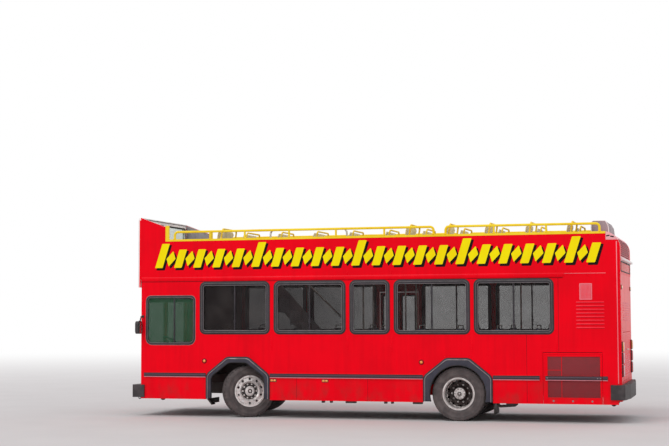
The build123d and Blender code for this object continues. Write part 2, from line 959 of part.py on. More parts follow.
def wheel_boxes():
    """The covers over the wheels, standing in the floor's cut-outs."""
    pieces = []
    wall = wheel_box_wall
    for centre, reach, inner_y in wheel_bays:
        shell = block(span(centre, 2 * reach), (inner_y, inner), (floor_under_z, wheel_box_top_z))
        shell -= block(span(centre, 2 * (reach - wall)), (inner_y + wall, inner + over),
                       (floor_under_z - over, wheel_box_top_z - wall))
        pieces += both_sides(shell)
    return pieces


def door_steps():
    """Two treads and their risers in each doorway, with the sill."""
    pieces = []
    plate = sill_height
    for rear, front, well_y in step_wells:
        middle_y = (inner + well_y) / 2
        profile = [
            (-inner, skirt_z), (-middle_y + plate, skirt_z), (-middle_y + plate, middle_step_z - plate),
            (-well_y + plate, middle_step_z - plate), (-well_y + plate, floor_under_z),
            (-well_y, floor_under_z), (-well_y, middle_step_z),
            (-middle_y, middle_step_z), (-middle_y, step_top), (-inner, step_top),
        ]
        face = Plane(origin=(rear, 0, 0), x_dir=(0, 1, 0), z_dir=(1, 0, 0)) * outline(profile)
        pieces.append(extrude(face, front - rear) + block((rear, front), (-half, -inner), (skirt_z, step_top)))
    return pieces


def deck_floor():
    """The upper floor with the stair opening."""
    plate = block((bulkhead_x, side_front_x - fit_gap), (-inner, inner), (crease_z, deck_z))
    well_y = (stair_inner_y - stairwell_margin, inner + over)
    return plate - block(stairwell_x, well_y, (crease_z - over, deck_z + over))


def stairs():
    """A straight stair up to the front along the left wall, with a stringer on its open side."""
    y = (stair_inner_y + stair_plate, inner - stair_wall_gap)
    steps = block((stair_head_x, stair_head_x + riser_plate), y, (crease_z - rise + 3 * riser_plate, crease_z))
    for step in range(stair_steps - 1):
        x = stair_foot_x + step * stair_run
        z = floor_z + (step + 1) * rise
        steps += block((x, x + stair_run + riser_plate), y, (z - stair_plate, z))
        steps += block((x, x + riser_plate), y, (z - rise, z))
    head_x = stair_head_x + riser_plate
    foot_x = stair_foot_x - over
    stringer = outline([
        (foot_x, floor_z), (stair_foot_x + stair_run + riser_plate, floor_z), (head_x, crease_z - rise),
        (head_x, crease_z), (stair_head_x - stair_run + stair_plate, crease_z),
        (foot_x, floor_z + rise + riser_plate),
    ])
    return steps + side_sheet(stringer, stair_inner_y, stair_inner_y + stair_plate)


def elbow(x, y, inwards):
    """A quarter bend from an upright tube at x into the level tube of a deck rail."""
    bend_z = deck_rail_z - rail_bend
    axis = Axis((x + inwards * rail_bend, y, bend_z), (0, inwards, 0))
    return revolve(Plane(origin=(x, y, bend_z), z_dir=(0, 0, 1)) * Circle(rail_tube), axis, 90)


def deck_rail(front, rear, stands):
    """The tubes of one rail on the left side panel: the level one, its bends and ends, and its stands."""
    y = (inner + half) / 2
    tube = rod((rear + rail_bend, y, deck_rail_z), (front - rail_bend, y, deck_rail_z), rail_tube)
    pieces = [tube, elbow(rear, y, 1), elbow(front, y, -1)]
    for x in (rear, front):
        pieces.append(rod((x, y, strip_top_z), (x, y, deck_rail_z - rail_bend), rail_tube))
    for x in stands:
        pieces.append(rod((x, y, strip_top_z), (x, y, deck_rail_z), rail_stand) - tube)
    return pieces


def deck_rails():
    """The strip, rails and fin posts along both sides."""
    y = (inner - strip_proud, half + strip_proud)
    pieces = [
        block((strip_rear_x, fin_post_x[0]), y, (panel_top_z, strip_top_z)),
        block(fin_post_x, y, (panel_top_z, fin_rear_z + fin_post_rise)),
    ]
    for run in rail_runs:
        pieces += deck_rail(*run)
    return [shape for piece in pieces for shape in both_sides(piece)]


def seat_span(side, width, gap):
    """The Y span of a seat that stands off one wall by a gap."""
    limit = inner - gap
    return (limit - width, limit) if side > 0 else (-limit, -limit + width)


def upper_rows():
    """The X of each upper backrest's foot and its side: the left rows leave the stair opening free."""
    rows = []
    before, after = stairwell_x[0] - seat_depth - 220, stairwell_x[1] + 120
    for index in range(upper_seat_count):
        x = upper_seat_first_x - index * upper_seat_pitch
        rows.append((x, -1))
        if not before < x < after:
            rows.append((x, 1))
    return [(x, seat_span(side, seat_width, seat_side_gap)) for x, side in rows]


def upper_seat_shells():
    """The moulded pans and backs."""
    pan_z = (deck_z + seat_height, deck_z + seat_height + pan_thickness)
    low = pan_z[1] + fit_gap
    shells = []
    for x, y in upper_rows():
        shells.append(block((x, x + seat_depth), y, pan_z))
        back = block((x - upper_back_thickness, x), y, (low, low + upper_back_height - upper_back_drop))
        shells.append(leaning(back, x, low, back_rake))
    return shells


def upper_seat_hoops():
    """A hoop of tube behind each upper seat, standing on the deck."""
    elbow, top = deck_z + seat_height, deck_z + seat_height + upper_back_height
    lean = upper_back_height * sin(radians(back_rake))
    hoops = []
    for x, y in upper_rows():
        right, left = shrink(y, hoop_inset)
        back = x - hoop_offset
        hoops.append(pipe([
            (back, right, deck_z), (back, right, elbow), (back - lean, right, top),
            (back - lean, left, top), (back, left, elbow), (back, left, deck_z),
        ], hoop_bend, hoop_tube))
    return hoops


def upper_seat_legs():
    """A bearer and a front leg under each side of each upper seat."""
    top = deck_z + seat_height
    frames = []
    for x, y in upper_rows():
        foot = x + seat_depth - leg_inset
        for end in shrink(y, hoop_inset):
            bearer_x, bearer_z = (x - hoop_offset + hoop_tube, foot + leg_tube), (top - 2 * leg_tube, top)
            bearer = block(bearer_x, span(end, 2 * leg_tube), bearer_z)
            frames.append(bearer + rod((foot, end, deck_z), (foot, end, top - leg_tube), leg_tube))
    return frames


def lower_places():
    """The X and Y span of each lower seat."""
    return [(x, seat_span(side, lower_seat_width, lower_seat_side_gap)) for x, side in lower_rows]


def lower_seat_pads():
    """The cushion and the back pad of each lower seat."""
    pads = []
    for x, y in lower_places():
        pads.append(block((x, x + seat_depth), y, (lower_seat_z, lower_seat_z + cushion_thickness)))
        back_z = (lower_seat_z, lower_seat_z + lower_back_height)
        pads.append(block((x - lower_back_thickness, x - fit_gap), y, back_z))
    return pads


def lower_seat_frames():
    """A base plate and a pedestal under each lower seat, on the floor or on a wheel box."""
    inset, length, width = pedestal
    base_top = lower_seat_z - fit_gap
    frames = []
    for x, y in lower_places():
        base = block((x - lower_back_thickness, x + seat_depth), y, (base_top - base_thickness, base_top))
        middle = x + seat_depth / 2
        over_wheel = any(abs(middle - centre) < reach + seat_depth / 2 for centre, reach, _ in wheel_bays)
        foot_z = wheel_box_top_z if over_wheel else floor_z
        post_y = span((y[0] + y[1]) / 2, width)
        post_z = (foot_z, base_top - base_thickness / 2)
        frames.append(base + block((x + inset, x + inset + length), post_y, post_z))
    return frames


def driver_seat():
    """The driver's seat on its pedestal."""
    depth, width, thick = driver_seat_size
    back_thick, back_width, back_height = driver_back_size
    stand_depth, stand_width = driver_stand_size
    x, seat_z = driver_seat_x, floor_z + driver_seat_height
    seat = block((x, x + depth), span(driver_y, width), (seat_z, seat_z + thick))
    back = block((x - back_thick / 2, x + back_thick / 2), span(driver_y, back_width),
                 (seat_z + thick - driver_back_lap, seat_z + back_height))
    stand = block(span(x + depth / 2, stand_depth), span(driver_y, stand_width), (floor_z, seat_z + over))
    return seat + leaning(back, x, seat_z + thick, driver_back_rake) + stand


def dashboard():
    """The desk under the windscreen."""
    back = side_front_x - end_wall
    edge = back - desk_depth
    high_lip, low_lip, foot = desk_lip_z
    profile = [
        (back, desk_top_z), (edge, desk_top_z),
        (edge - desk_nose + over, high_lip), (edge - desk_nose, low_lip),
        (edge + 4 * over, foot), (edge + 6 * over, floor_z), (back, floor_z),
    ]
    return side_sheet(outline(profile), desk_edge_y, inner)


def steering_wheel():
    """The rim, spokes and column, raked towards the driver."""
    lean_x, lean_z = sin(radians(wheel_rake)), cos(radians(wheel_rake))
    width, thick = wheel_spoke
    rake = Plane(origin=(wheel_x, driver_y, wheel_z), z_dir=(-lean_x, 0, lean_z))
    wheel = rake * Torus(wheel_ring, wheel_ring_tube)
    wheel += extrude(rake * Circle(wheel_hub), 3 * thick / 2, both=True)
    for angle in (90, 210, 330):
        wheel += rake * Rot(0, 0, angle) * Pos(wheel_ring / 2, 0, 0) * Box(wheel_ring, width, thick)
    foot = (wheel_x + lean_x * column_length, driver_y, wheel_z - lean_z * column_length)
    return wheel + (rod((wheel_x, driver_y, wheel_z), foot, column_radius) - dashboard())


def partition():
    """The dark panel behind the first left window, and the cab's rear wall."""
    wall_face = inner - 4 * over
    panel = block(panel_x, (wall_face - panel_thickness, wall_face), (wheel_box_top_z, crease_z))
    cab_x = (panel_x[1], panel_x[1] + cab_wall_thickness)
    return panel + block(cab_x, (cab_wall_inner_y, wall_face), (floor_z, crease_z))


def grab_rails():
    """The stair's handrail, the upright poles, and the guard round the stair opening."""
    y = stair_inner_y - stairwell_margin
    foot = (stair_foot_x - handrail_start, y, floor_z + handrail_height)
    head = (foot[0] + handrail_run, y, deck_z - handrail_drop)
    post_top = (foot[0], y, foot[2] + handrail_radius)
    rails = [rod(foot, head, handrail_radius) + rod((foot[0], y, floor_z), post_top, handrail_radius)]
    for x, y in poles:
        rails.append(rod((x, y, floor_z), (x, y, crease_z), pole_radius))
    y = stair_inner_y - guard_gap
    rear, front = stairwell_x[0] - 2 * stairwell_margin, stairwell_x[1] - 3 * stairwell_margin
    top, middle = deck_z + guard_height, deck_z + guard_height / 2
    corners = [(rear, y, deck_z), (rear, y, top), (front, y, top), (front, y, deck_z)]
    guard = pipe(corners, guard_bend, guard_radius)
    return rails + [guard + rod((rear, y, middle), (front, y, middle), guard_radius - 4)]


def mirrors():
    """A mirror head on an arm at each front corner."""
    x, y = side_front_x - end_wall, half + mirror_arm
    head = Pos(side_front_x - over, y, mirror_z) * Box(*mirror_size)
    head = fillet(head.edges().filter_by(Axis.X), mirror_corner)
    bend = (x, y - mirror_arm_radius, mirror_arm_z)
    arm = rod((x, half, mirror_arm_z), (x, y, mirror_arm_z), mirror_arm_radius)
    grip_z = mirror_z + mirror_size[2] / 2 - mirror_arm_grip
    arm += rod(bend, (x + mirror_arm_lean, bend[1], grip_z), mirror_arm_radius)
    return both_sides(head + arm)


def lamps():
    """Head, marker, turn and rear lamps, on both sides."""
    face, rear = side_front_x, rear_face_x
    turn_z = [rub_low_z - drop for drop in side_turn_drop]
    high_z = [crease_z - drop for drop in high_lamp_drop]
    left = []
    for y in headlamp_y:
        left.append(rod((face, y, headlamp_z), (face + headlamp_proud, y, headlamp_z), headlamp_radius))
    left.append(block((face, face + turn_lamp_proud), turn_lamp_y, span(headlamp_z, turn_lamp_height)))
    for x in side_markers:
        left.append(rod((x, half, marker_z), (x, half + marker_proud, marker_z), marker_radius))
    for x in side_turns:
        left.append(block(span(x, side_turn_length), (half, half + side_turn_proud), turn_z))
    for z in rear_lamps:
        left.append(block((rear - rear_lamp_proud, rear), rear_lamp_y, z))
    left.append(block((rear - high_lamp_proud, rear), high_lamp_y, high_z))
    return [piece for lamp in left for piece in both_sides(lamp)]


def engine():
    """The engine on its cross beams, and the radiator behind the grille."""
    length, width = engine_size
    front = bay_front_x - engine_gap
    motor = block((front - length, front), span(0, width), (floor_under_z, engine_top_z))
    cooler_x = (mesh_x[0] + cooler_gap, bay_front_x - bay_wall)
    return [motor, block(cooler_x, (cooler_inner_y, inner - engine_gap), (mesh_z[0] + over, mesh_z[1]))]


def fuel_tank():
    """The tank, hung by two straps from the cross beams."""
    tank = fillet(block(tank_x, tank_y, tank_z).edges().filter_by(Axis.X), tank_corner)
    for x in (cross_beams[7][0], cross_beams[6][0]):
        tank += block(span(x, strap_width), tank_y, (tank_z[1] - over, rail_high_z))
    return tank


def exhaust():
    """A silencer behind the rear axle and its tail pipe, hung from the floor."""
    front, rear = silencer_x
    y, z = silencer_y, silencer_z
    pipe_y, end_drop, start_drop = tail_pipe_shift
    can = rod((front, y, z), (rear, y, z), silencer_radius)
    start = (front, y + pipe_y, z - end_drop)
    can += rod(start, (front + tail_pipe_length, y + pipe_y, z - end_drop - start_drop), tail_pipe_radius)
    for x in (rear + 2 * hanger_width, front - 2.4 * hanger_width):
        hanger_z = (z + silencer_radius - strap_width, floor_under_z)
        can += block(span(x, hanger_width), span(y, strap_width), hanger_z)
    return can


def tyre(y):
    """One tyre about the Y axis, its middle at y, with flat shoulders and drawn-in beads."""
    w, r = tyre_width / 2, tyre_radius
    bead = w - bead_inset
    half_profile = [
        (bead_radius, -bead), (bead_radius + bead_flare, -bead), (bead_radius + bead_round, -w + 4),
        (r - sidewall_band, -w), (r - tyre_shoulder, -w + shoulder_inset), (r, -w + tread_inset),
    ]
    other_half = [(radius, -depth) for radius, depth in reversed(half_profile)]
    return Pos(0, y, 0) * turned_about_y(half_profile + other_half)


def on_axle(x, shape):
    """Put a wheel piece at its axle's place and height."""
    return Pos(x, 0, tyre_radius) * shape


def rim_barrel(y):
    """The rim's barrel with a flange at each side, inside the tyre's beads."""
    w = tyre_width / 2 - bead_inset + fit_gap
    inside, seat, flange = bead_radius - rim_wall, bead_radius - fit_gap, bead_radius + rim_flange
    lip = w + rim_lip / 2
    well = (inside - rim_well - 2, w - rim_wall)
    half_profile = [(well[0], -well[1]), (inside, -lip), (flange, -lip), (flange, -w), (seat, -w)]
    other_half = [(radius, -depth) for radius, depth in reversed(half_profile)]
    return Pos(0, y, 0) * turned_about_y(half_profile + other_half)


def hand_holes(low_y, high_y):
    """The ring of round holes through a disc."""
    holes = []
    for index in range(hand_hole_count):
        angle = radians(360 / hand_hole_count * index)
        x, z = hand_hole_circle * sin(angle), hand_hole_circle * cos(angle)
        holes.append(rod((x, low_y, z), (x, high_y, z), hand_hole_radius))
    return holes


def front_rim(y):
    """A front wheel's rim, outward dish, hub and brake drum. Built on the left side."""
    bore = spindle_radius + bearing_gap
    edge = bead_radius - rim_wall - rim_well
    face = y + hub_depth / 2 - disc_setback
    thick = disc_thickness
    cap_y = y + hub_depth
    foot, shoulder = hub_radius + disc_foot, hub_radius + disc_shoulder
    crown_y, edge_y = face + disc_crown, face + disc_edge
    dish = turned_about_y([
        (bore, face), (foot, face), (shoulder, crown_y), (edge, edge_y), (edge, edge_y + thick),
        (shoulder - disc_corner, crown_y + thick), (foot - disc_corner, face + thick),
        (hub_radius, face + thick), (hub_radius - hub_taper, cap_y - cap_height), (cap_radius, cap_y - thick),
        (cap_radius, cap_y), (0, cap_y), (0, cap_y - cap_wall), (bore, cap_y - cap_wall),
    ])
    for hole in hand_holes(face - over, y + hub_depth):
        dish -= hole
    drum_y, drum_face = y - drum_reach, face - drum_gap
    drum = turned_about_y([
        (bore, drum_y), (drum_radius, drum_y), (drum_radius, drum_face), (drum_radius - drum_wall, drum_face),
        (foot, face + bearing_gap), (bore, face + bearing_gap),
    ])
    return rim_barrel(y) + dish + drum


def twin_rims(outer_y, inner_y):
    """The two rims of a rear pair, back to back on one hub. Built on the left side."""
    edge = bead_radius - rim_wall - rim_well
    outer_disc, inner_disc = outer_y - hub_depth + rear_disc_setback, inner_y + hub_depth - rear_disc_setback
    bore, thick = rear_spindle_radius + bearing_gap, disc_thickness
    rise_y, cap_y, back_y = outer_disc + rear_dish_rise, outer_y + thick, inner_y - rear_hub_reach
    foot = hub_radius + rear_hub_foot
    low, middle, high = [hub_radius + step for step in rear_hub_steps]
    hub = turned_about_y([
        (bore, back_y), (foot, back_y), (foot, inner_disc),
        (edge, inner_disc - rear_dish_rise), (edge, inner_disc - thick), (drum_radius, outer_disc + thick),
        (edge, outer_disc + rear_dish_edge), (edge, rise_y), (drum_radius - rear_dish_lip, rise_y + thick / 2),
        (low, rise_y), (middle, rise_y + rear_dish_rise), (high, outer_y + thick / 2), (hub_radius, cap_y),
        (0, cap_y), (0, cap_y - cap_wall), (bore, cap_y - cap_wall),
    ])
    for hole in hand_holes(inner_disc - 4 * over, outer_disc + 6 * over):
        hub -= hole
    return rim_barrel(outer_y) + rim_barrel(inner_y) + hub


def wheel_shapes():
    """The tyres, rims, knuckles and tie rod, at the parked steering angle."""
    outer_y, inner_y = rear_outer_tyre_y, rear_outer_tyre_y - twin_spacing
    left_tyre = on_axle(kingpin_x, tyre(front_tyre_y))
    left_rim = on_axle(kingpin_x, front_rim(front_tyre_y))
    rear_tyres = [on_axle(rear_axle_x, tyre(y)) for y in (outer_y, inner_y)]
    rear_rims = on_axle(rear_axle_x, twin_rims(outer_y, inner_y))
    return {
        "knuckle_left": wheel_turned(knuckle(), 1),
        "knuckle_right": wheel_turned(other_side(knuckle()), -1),
        "tie_rod": tie_rod(),
        "tyre_front_left": wheel_turned(left_tyre, 1),
        "rim_front_left": wheel_turned(left_rim, 1),
        "tyre_front_right": wheel_turned(other_side(left_tyre), -1),
        "rim_front_right": wheel_turned(other_side(left_rim), -1),
        "tyres_rear_left": rear_tyres,
        "rims_rear_left": rear_rims,
        "tyres_rear_right": [other_side(piece) for piece in rear_tyres],
        "rims_rear_right": other_side(rear_rims),
    }


def door_shapes():
    """The four leaves on the right side and the two lids."""
    front_middle, rear_middle = sum(front_door_x) / 2, sum(rear_door_x) / 2
    return {
        "radiator_door": radiator_door(),
        "engine_door": engine_lid(),
        "front_door_leaf_a": door_leaf(front_door_x[1], front_middle),
        "front_door_leaf_b": door_leaf(front_door_x[0], front_middle),
        "rear_door_leaf_a": door_leaf(rear_door_x[1], rear_middle),
        "rear_door_leaf_b": door_leaf(rear_door_x[0], rear_middle),
    }


def body_shapes():
    """Everything that stays fixed to the body."""
    doorways = [front_door_x, rear_door_x]
    return {
        "chassis_rails": chassis_rails(),
        "cross_members": cross_members(),
        "front_axle": front_axle(),
        "rear_axle": rear_axle(),
        "air_springs": air_springs(),
        "engine": engine(),
        "fuel_tank": fuel_tank(),
        "exhaust": exhaust(),
        "lower_floor": lower_floor(),
        "wheel_boxes": wheel_boxes(),
        "door_steps": door_steps(),
        "side_panel_left": side_panel(left_windows, []) - hatch_cut(),
        "skirt_left": skirt([]) - hatch_cut(),
        "side_panel_right": other_side(side_panel(right_windows, doorways)),
        "skirt_right": other_side(skirt(doorways)),
        "arch_trims": [piece for row in arches for piece in both_sides(arch_trim(*row))],
        "rub_rails": rub_rails(),
        "front_mask": front_mask(),
        "rear_wall": rear_wall(),
        "rear_cap": rear_cap(),
        "bumpers": [
            bumper(side_front_x, front_bumper_depth, front_bumper_wrap, front_bumper_chamfer, front_bumper_z),
            bumper(rear_face_x, rear_bumper_depth, rear_bumper_wrap, rear_bumper_chamfer, rear_bumper_z),
        ],
        "window_frames": window_frames(),
        "glazing": glazing(),
        "deck_floor": deck_floor(),
        "upper_side_left": upper_side(),
        "upper_side_right": other_side(upper_side()),
        "front_board": front_board(),
        "deck_rails": deck_rails(),
        "upper_seat_shells": upper_seat_shells(),
        "upper_seat_hoops": upper_seat_hoops(),
        "upper_seat_legs": upper_seat_legs(),
        "lower_seat_pads": lower_seat_pads(),
        "lower_seat_frames": lower_seat_frames(),
        "driver_seat": driver_seat(),
        "dashboard": dashboard(),
        "steering_wheel": steering_wheel(),
        "stairs": stairs(),
        "partition": partition(),
        "grab_rails": grab_rails(),
        "mirrors": mirrors(),
        "lamps": lamps(),
    }


os.makedirs("parts", exist_ok=True)
for name, shape in {**body_shapes(), **wheel_shapes(), **door_shapes()}.items():
    solids = []
    for piece in shape if isinstance(shape, list) else [shape]:
        solids += list(piece.solids())
    export_step(Compound(solids) if len(solids) > 1 else solids[0], f"parts/{name}.step")
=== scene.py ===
import json
from math import cos, exp, pi, radians, sin, sqrt

import bpy
from mathutils import Matrix, Vector


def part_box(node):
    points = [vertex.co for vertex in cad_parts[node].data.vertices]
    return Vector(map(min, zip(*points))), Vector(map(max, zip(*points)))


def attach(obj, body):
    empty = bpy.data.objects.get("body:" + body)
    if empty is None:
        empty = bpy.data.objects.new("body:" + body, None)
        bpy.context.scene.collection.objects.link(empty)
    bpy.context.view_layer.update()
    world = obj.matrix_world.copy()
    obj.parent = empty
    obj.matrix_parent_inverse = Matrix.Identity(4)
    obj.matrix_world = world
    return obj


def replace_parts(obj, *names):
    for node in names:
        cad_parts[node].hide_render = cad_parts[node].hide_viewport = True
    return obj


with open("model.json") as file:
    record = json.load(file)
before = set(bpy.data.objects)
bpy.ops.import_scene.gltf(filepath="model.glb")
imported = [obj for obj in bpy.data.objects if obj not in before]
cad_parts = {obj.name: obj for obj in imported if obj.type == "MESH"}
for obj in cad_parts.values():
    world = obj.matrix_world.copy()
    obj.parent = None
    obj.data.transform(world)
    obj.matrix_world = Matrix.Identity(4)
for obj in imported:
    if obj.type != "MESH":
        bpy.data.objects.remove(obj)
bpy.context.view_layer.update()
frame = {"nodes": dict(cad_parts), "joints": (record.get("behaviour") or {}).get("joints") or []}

# Places of the body in metres: side, inner side, ends, the crease over the windows, the deck strip's top
side_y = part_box("side_panel_left")[1].y
inner_y = 1.175
front_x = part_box("front_mask")[1].x
rear_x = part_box("rear_wall")[0].x
board_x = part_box("front_board")[1].x
crease_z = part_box("side_panel_left")[1].z
strip_top_z = 3.485

# Windows of the sides: front X, rear X, and whether an upright sash splits them
left_windows = [
    (3.453, 2.010, True), (1.924, 0.485, True), (0.402, -0.383, False), (-0.466, -1.918, True),
    (-1.997, -3.473, True),
]
right_windows = [(3.370, 2.010, True), left_windows[1], left_windows[3], left_windows[4]]
window_z = (1.613, 2.636)
window_corners = (0.112, 0.112)

# Runs of the rub rails, rear X and front X, and the one on the radiator door
rail_z = 0.816
left_rails = [(3.327, 4.63), (-1.015, 2.003), (-3.2, -2.339), (-4.43, -4.34)]
right_rails = [(4.502, 4.63), (0.422, 2.003), (-1.015, -0.402), (-4.43, -2.339)]
radiator_rail = (-4.33, -3.306)

# Wheels: joint that turns them, body, side, and how far each tyre's middle lies out from the joint
wheels = [
    ("wheel_front_left_spin", "wheel_front_left", 1, (0.0,)),
    ("wheel_front_right_spin", "wheel_front_right", -1, (0.0,)),
    ("wheels_rear_left_spin", "wheels_rear_left", 1, (0.165, -0.165)),
    ("wheels_rear_right_spin", "wheels_rear_right", -1, (0.165, -0.165)),
]

# Seats: the X where each cushion's back edge stands, and the place of the driver's seat
lower_left_rows = (-0.15, -0.88, -1.62, -2.36, -3.10)
lower_right_rows = (2.88, 2.12, 1.24, 0.52, -1.62, -2.36, -3.10)
lower_seat_z = 1.20
upper_rows = [3.15 - 0.76 * index for index in range(10)]
rows_beside_stairwell = range(1, 5)
driver_place = Vector((3.64, 0.62, 1.30))

# Rounded upper rear: its middle, its radius, and how far its skin reaches inwards
cap_x, cap_z, cap_radius, cap_inner_radius = -4.38, 3.185, 0.30, 0.25


def rgb(red, green, blue):
    """A colour as it looks on a screen, from 0 to 255, as the light values that nodes hold."""
    shares = [value / 255 for value in (red, green, blue)]
    light = [share / 12.92 if share <= 0.04045 else ((share + 0.055) / 1.055) ** 2.4 for share in shares]
    return (*light, 1)


class Wire:
    """A value carried by a finish's nodes. A sum on it adds the nodes that work it out."""

    def __init__(self, finish, end):
        self.finish = finish
        self.end = end

    def worked(self, operation, *values):
        return self.finish.node("Math", {"operation": operation}, dict(enumerate(values)))

    def __add__(self, other):
        return self.worked("ADD", self, other)

    def __radd__(self, other):
        return self.worked("ADD", other, self)

    def __sub__(self, other):
        return self.worked("SUBTRACT", self, other)

    def __rsub__(self, other):
        return self.worked("SUBTRACT", other, self)

    def __mul__(self, other):
        return self.worked("MULTIPLY", self, other)

    def __rmul__(self, other):
        return self.worked("MULTIPLY", other, self)

    def __truediv__(self, other):
        return self.worked("DIVIDE", self, other)

    def __abs__(self):
        return self.worked("ABSOLUTE", self)

    def __mod__(self, other):
        return self.worked("FLOORED_MODULO", self, other)

    def __gt__(self, other):
        return self.worked("GREATER_THAN", self, other)

    def __lt__(self, other):
        return self.worked("LESS_THAN", self, other)


class Finish:
    """A material made of nodes that read the object's own metres."""

    def __init__(self, name):
        self.material = bpy.data.materials.new(name)
        self.material.use_nodes = True
        self.tree = self.material.node_tree
        self.tree.nodes.clear()
        self.place = self.node("TexCoord", output="Object")

    def node(self, kind, settings=None, values=None, output=0):
        """Adds one node: its type, its settings, then the values or wires of its sockets."""
        made = self.tree.nodes.new("ShaderNode" + kind)
        for name, setting in (settings or {}).items():
            setattr(made, name, setting)
        for name, value in (values or {}).items():
            if isinstance(value, Wire):
                self.tree.links.new(value.end, made.inputs[name])
            else:
                made.inputs[name].default_value = value
        return Wire(self, made.outputs[output]) if made.outputs else None

    def along(self, axis):
        """The place along one axis, 0 to 2 for X, Y and Z."""
        return self.node("SeparateXYZ", values={0: self.place}, output=axis)

    def noise(self, scale, detail=3.0, stretch=(1, 1, 1)):
        """Cloudy variation from 0 to 1, at so many lumps to the metre."""
        place = self.node("VectorMath", {"operation": "MULTIPLY"}, {0: self.place, 1: stretch})
        return self.node("TexNoise", values={"Vector": place, "Scale": scale, "Detail": detail})

    def cells(self, scale, stretch=(1, 1, 1)):
        """The distance to the nearest of scattered points, at so many points to the metre."""
        place = self.node("VectorMath", {"operation": "MULTIPLY"}, {0: self.place, 1: stretch})
        return self.node("TexVoronoi", values={"Vector": place, "Scale": scale}, output="Distance")

    def ramp(self, value, low, high, bottom=0.0, top=1.0):
        """Runs smoothly from bottom to top while the value runs from low to high."""
        limits = {"Value": value, "From Min": low, "From Max": high, "To Min": bottom, "To Max": top}
        return self.node("MapRange", {"interpolation_type": "SMOOTHSTEP", "clamp": True}, limits)

    def blend(self, share, first, second):
        """A colour that goes from the first to the second with the share."""
        return self.node("Mix", {"data_type": "RGBA"}, {0: share, 6: first, 7: second}, output=2)

    def bump(self, height, depth, under=None):
        """A normal for a relief of so many metres, over another relief if one is given."""
        values = {"Height": height, "Distance": depth}
        if under is not None:
            values["Normal"] = under
        return self.node("Bump", values=values)

    def surface(self, **values):
        """Ends the finish with its shader, and gives the material."""
        sockets = {name.replace("_", " "): value for name, value in values.items()}
        shader = self.node("BsdfPrincipled", values=sockets, output="BSDF")
        self.node("OutputMaterial", values={"Surface": shader})
        return self.material

    def node_output(self, shader):
        self.node("OutputMaterial", values={"Surface": shader})
        return self.material


# Finishes, each a function of a name and its colours

def paint(name, colour, shade, gloss=0.26, zones=()):
    """Coach paint: a coat with faint waves, dust that thickens towards the road, and rain streaks. A zone is
    a test of the place and the colour that holds where it is met."""
    made = Finish(name)
    clouds = made.noise(1.4, 4)
    streaks = made.noise(1.0, 3, (9, 9, 0.7))
    low = made.ramp(made.along(2), 0.95, 0.36)
    dust = made.ramp(made.noise(5.5, 5, (1, 1, 0.6)), 0.38, 0.75) * low
    tint = made.blend(made.ramp(clouds * 0.6 + streaks * 0.4, 0.35, 0.65), colour, shade)
    for test, other in zones:
        tint = made.blend(test(made), tint, other)
    dirty = made.blend(dust * 0.34, tint, rgb(96, 62, 56))
    relief = made.bump(made.noise(2.6, 1), 0.0035)
    relief = made.bump(made.noise(260, 1), 0.00012, relief)
    return made.surface(
        Base_Color=dirty, Roughness=dust * 0.35 + streaks * 0.05 + gloss, Specular_IOR_Level=0.06,
        Normal=relief)


def moulded(name, colour, worn, grain=420, depth=0.0003, rough=0.5, zones=()):
    """Moulded rubber or plastic with a fine grain, greyed by dust and handling, in zones as paint is."""
    made = Finish(name)
    dust = made.ramp(made.noise(7, 5), 0.38, 0.72)
    fine = made.noise(grain, 2)
    tint = made.blend(dust * 0.55, colour, worn)
    for test, other in zones:
        tint = made.blend(test(made), tint, other)
    relief = made.bump(fine, depth)
    return made.surface(Base_Color=tint, Roughness=dust * 0.16 + fine * 0.1 + rough, Normal=relief)


def metal(name, colour, stain, rough=0.3, grime=0.4, scale=9, shine=1.0):
    """Bare or plated metal, brushed faintly and stained in patches."""
    made = Finish(name)
    patch = made.ramp(made.noise(scale, 6), 0.42, 0.7)
    brush = made.noise(60, 2, (1, 1, 14))
    tint = made.blend(patch * grime, colour, stain)
    relief = made.bump(brush, 0.00015)
    return made.surface(
        Base_Color=tint, Metallic=(1 - patch * grime) * shine, Roughness=patch * 0.3 + brush * 0.08 + rough,
        Normal=relief)


def enamel(name, colour, chipped, rough=0.4, grime=0.5):
    """Painted steel under the body, with road grime and rust at its worn spots."""
    made = Finish(name)
    grit = made.ramp(made.noise(6, 6), 0.4, 0.7)
    rust = made.ramp(made.noise(23, 5), 0.62, 0.74)
    tint = made.blend(grit * grime, colour, chipped)
    tint = made.blend(rust * grime, tint, rgb(104, 62, 40))
    relief = made.bump(made.noise(70, 4), 0.0008)
    return made.surface(Base_Color=tint, Roughness=grit * 0.25 + rust * 0.15 + rough, Normal=relief)


def glass(name):
    """Window glass: dark tint on the sides, a pale green at the front and on the upper deck."""
    made = Finish(name)
    ahead = made.along(0) > 3.5
    above = made.along(2) > 2.75
    dust = made.ramp(made.noise(3.2, 5), 0.4, 0.75)
    tint = made.blend(ahead, rgb(30, 24, 25), rgb(44, 86, 60))
    tint = made.blend(above, tint, rgb(140, 176, 150))
    tint = made.blend(dust * 0.1, tint, rgb(140, 132, 128))
    alpha = dust * 0.05 + above * (-0.26) + made.ramp(made.along(0), -1.0, 2.4, 0.38, 0.56)
    waves = made.bump(made.noise(1.1, 1), 0.004)
    return made.surface(
        Base_Color=tint, Roughness=dust * 0.09 + 0.02, Alpha=alpha, Specular_IOR_Level=0.16, Normal=waves)


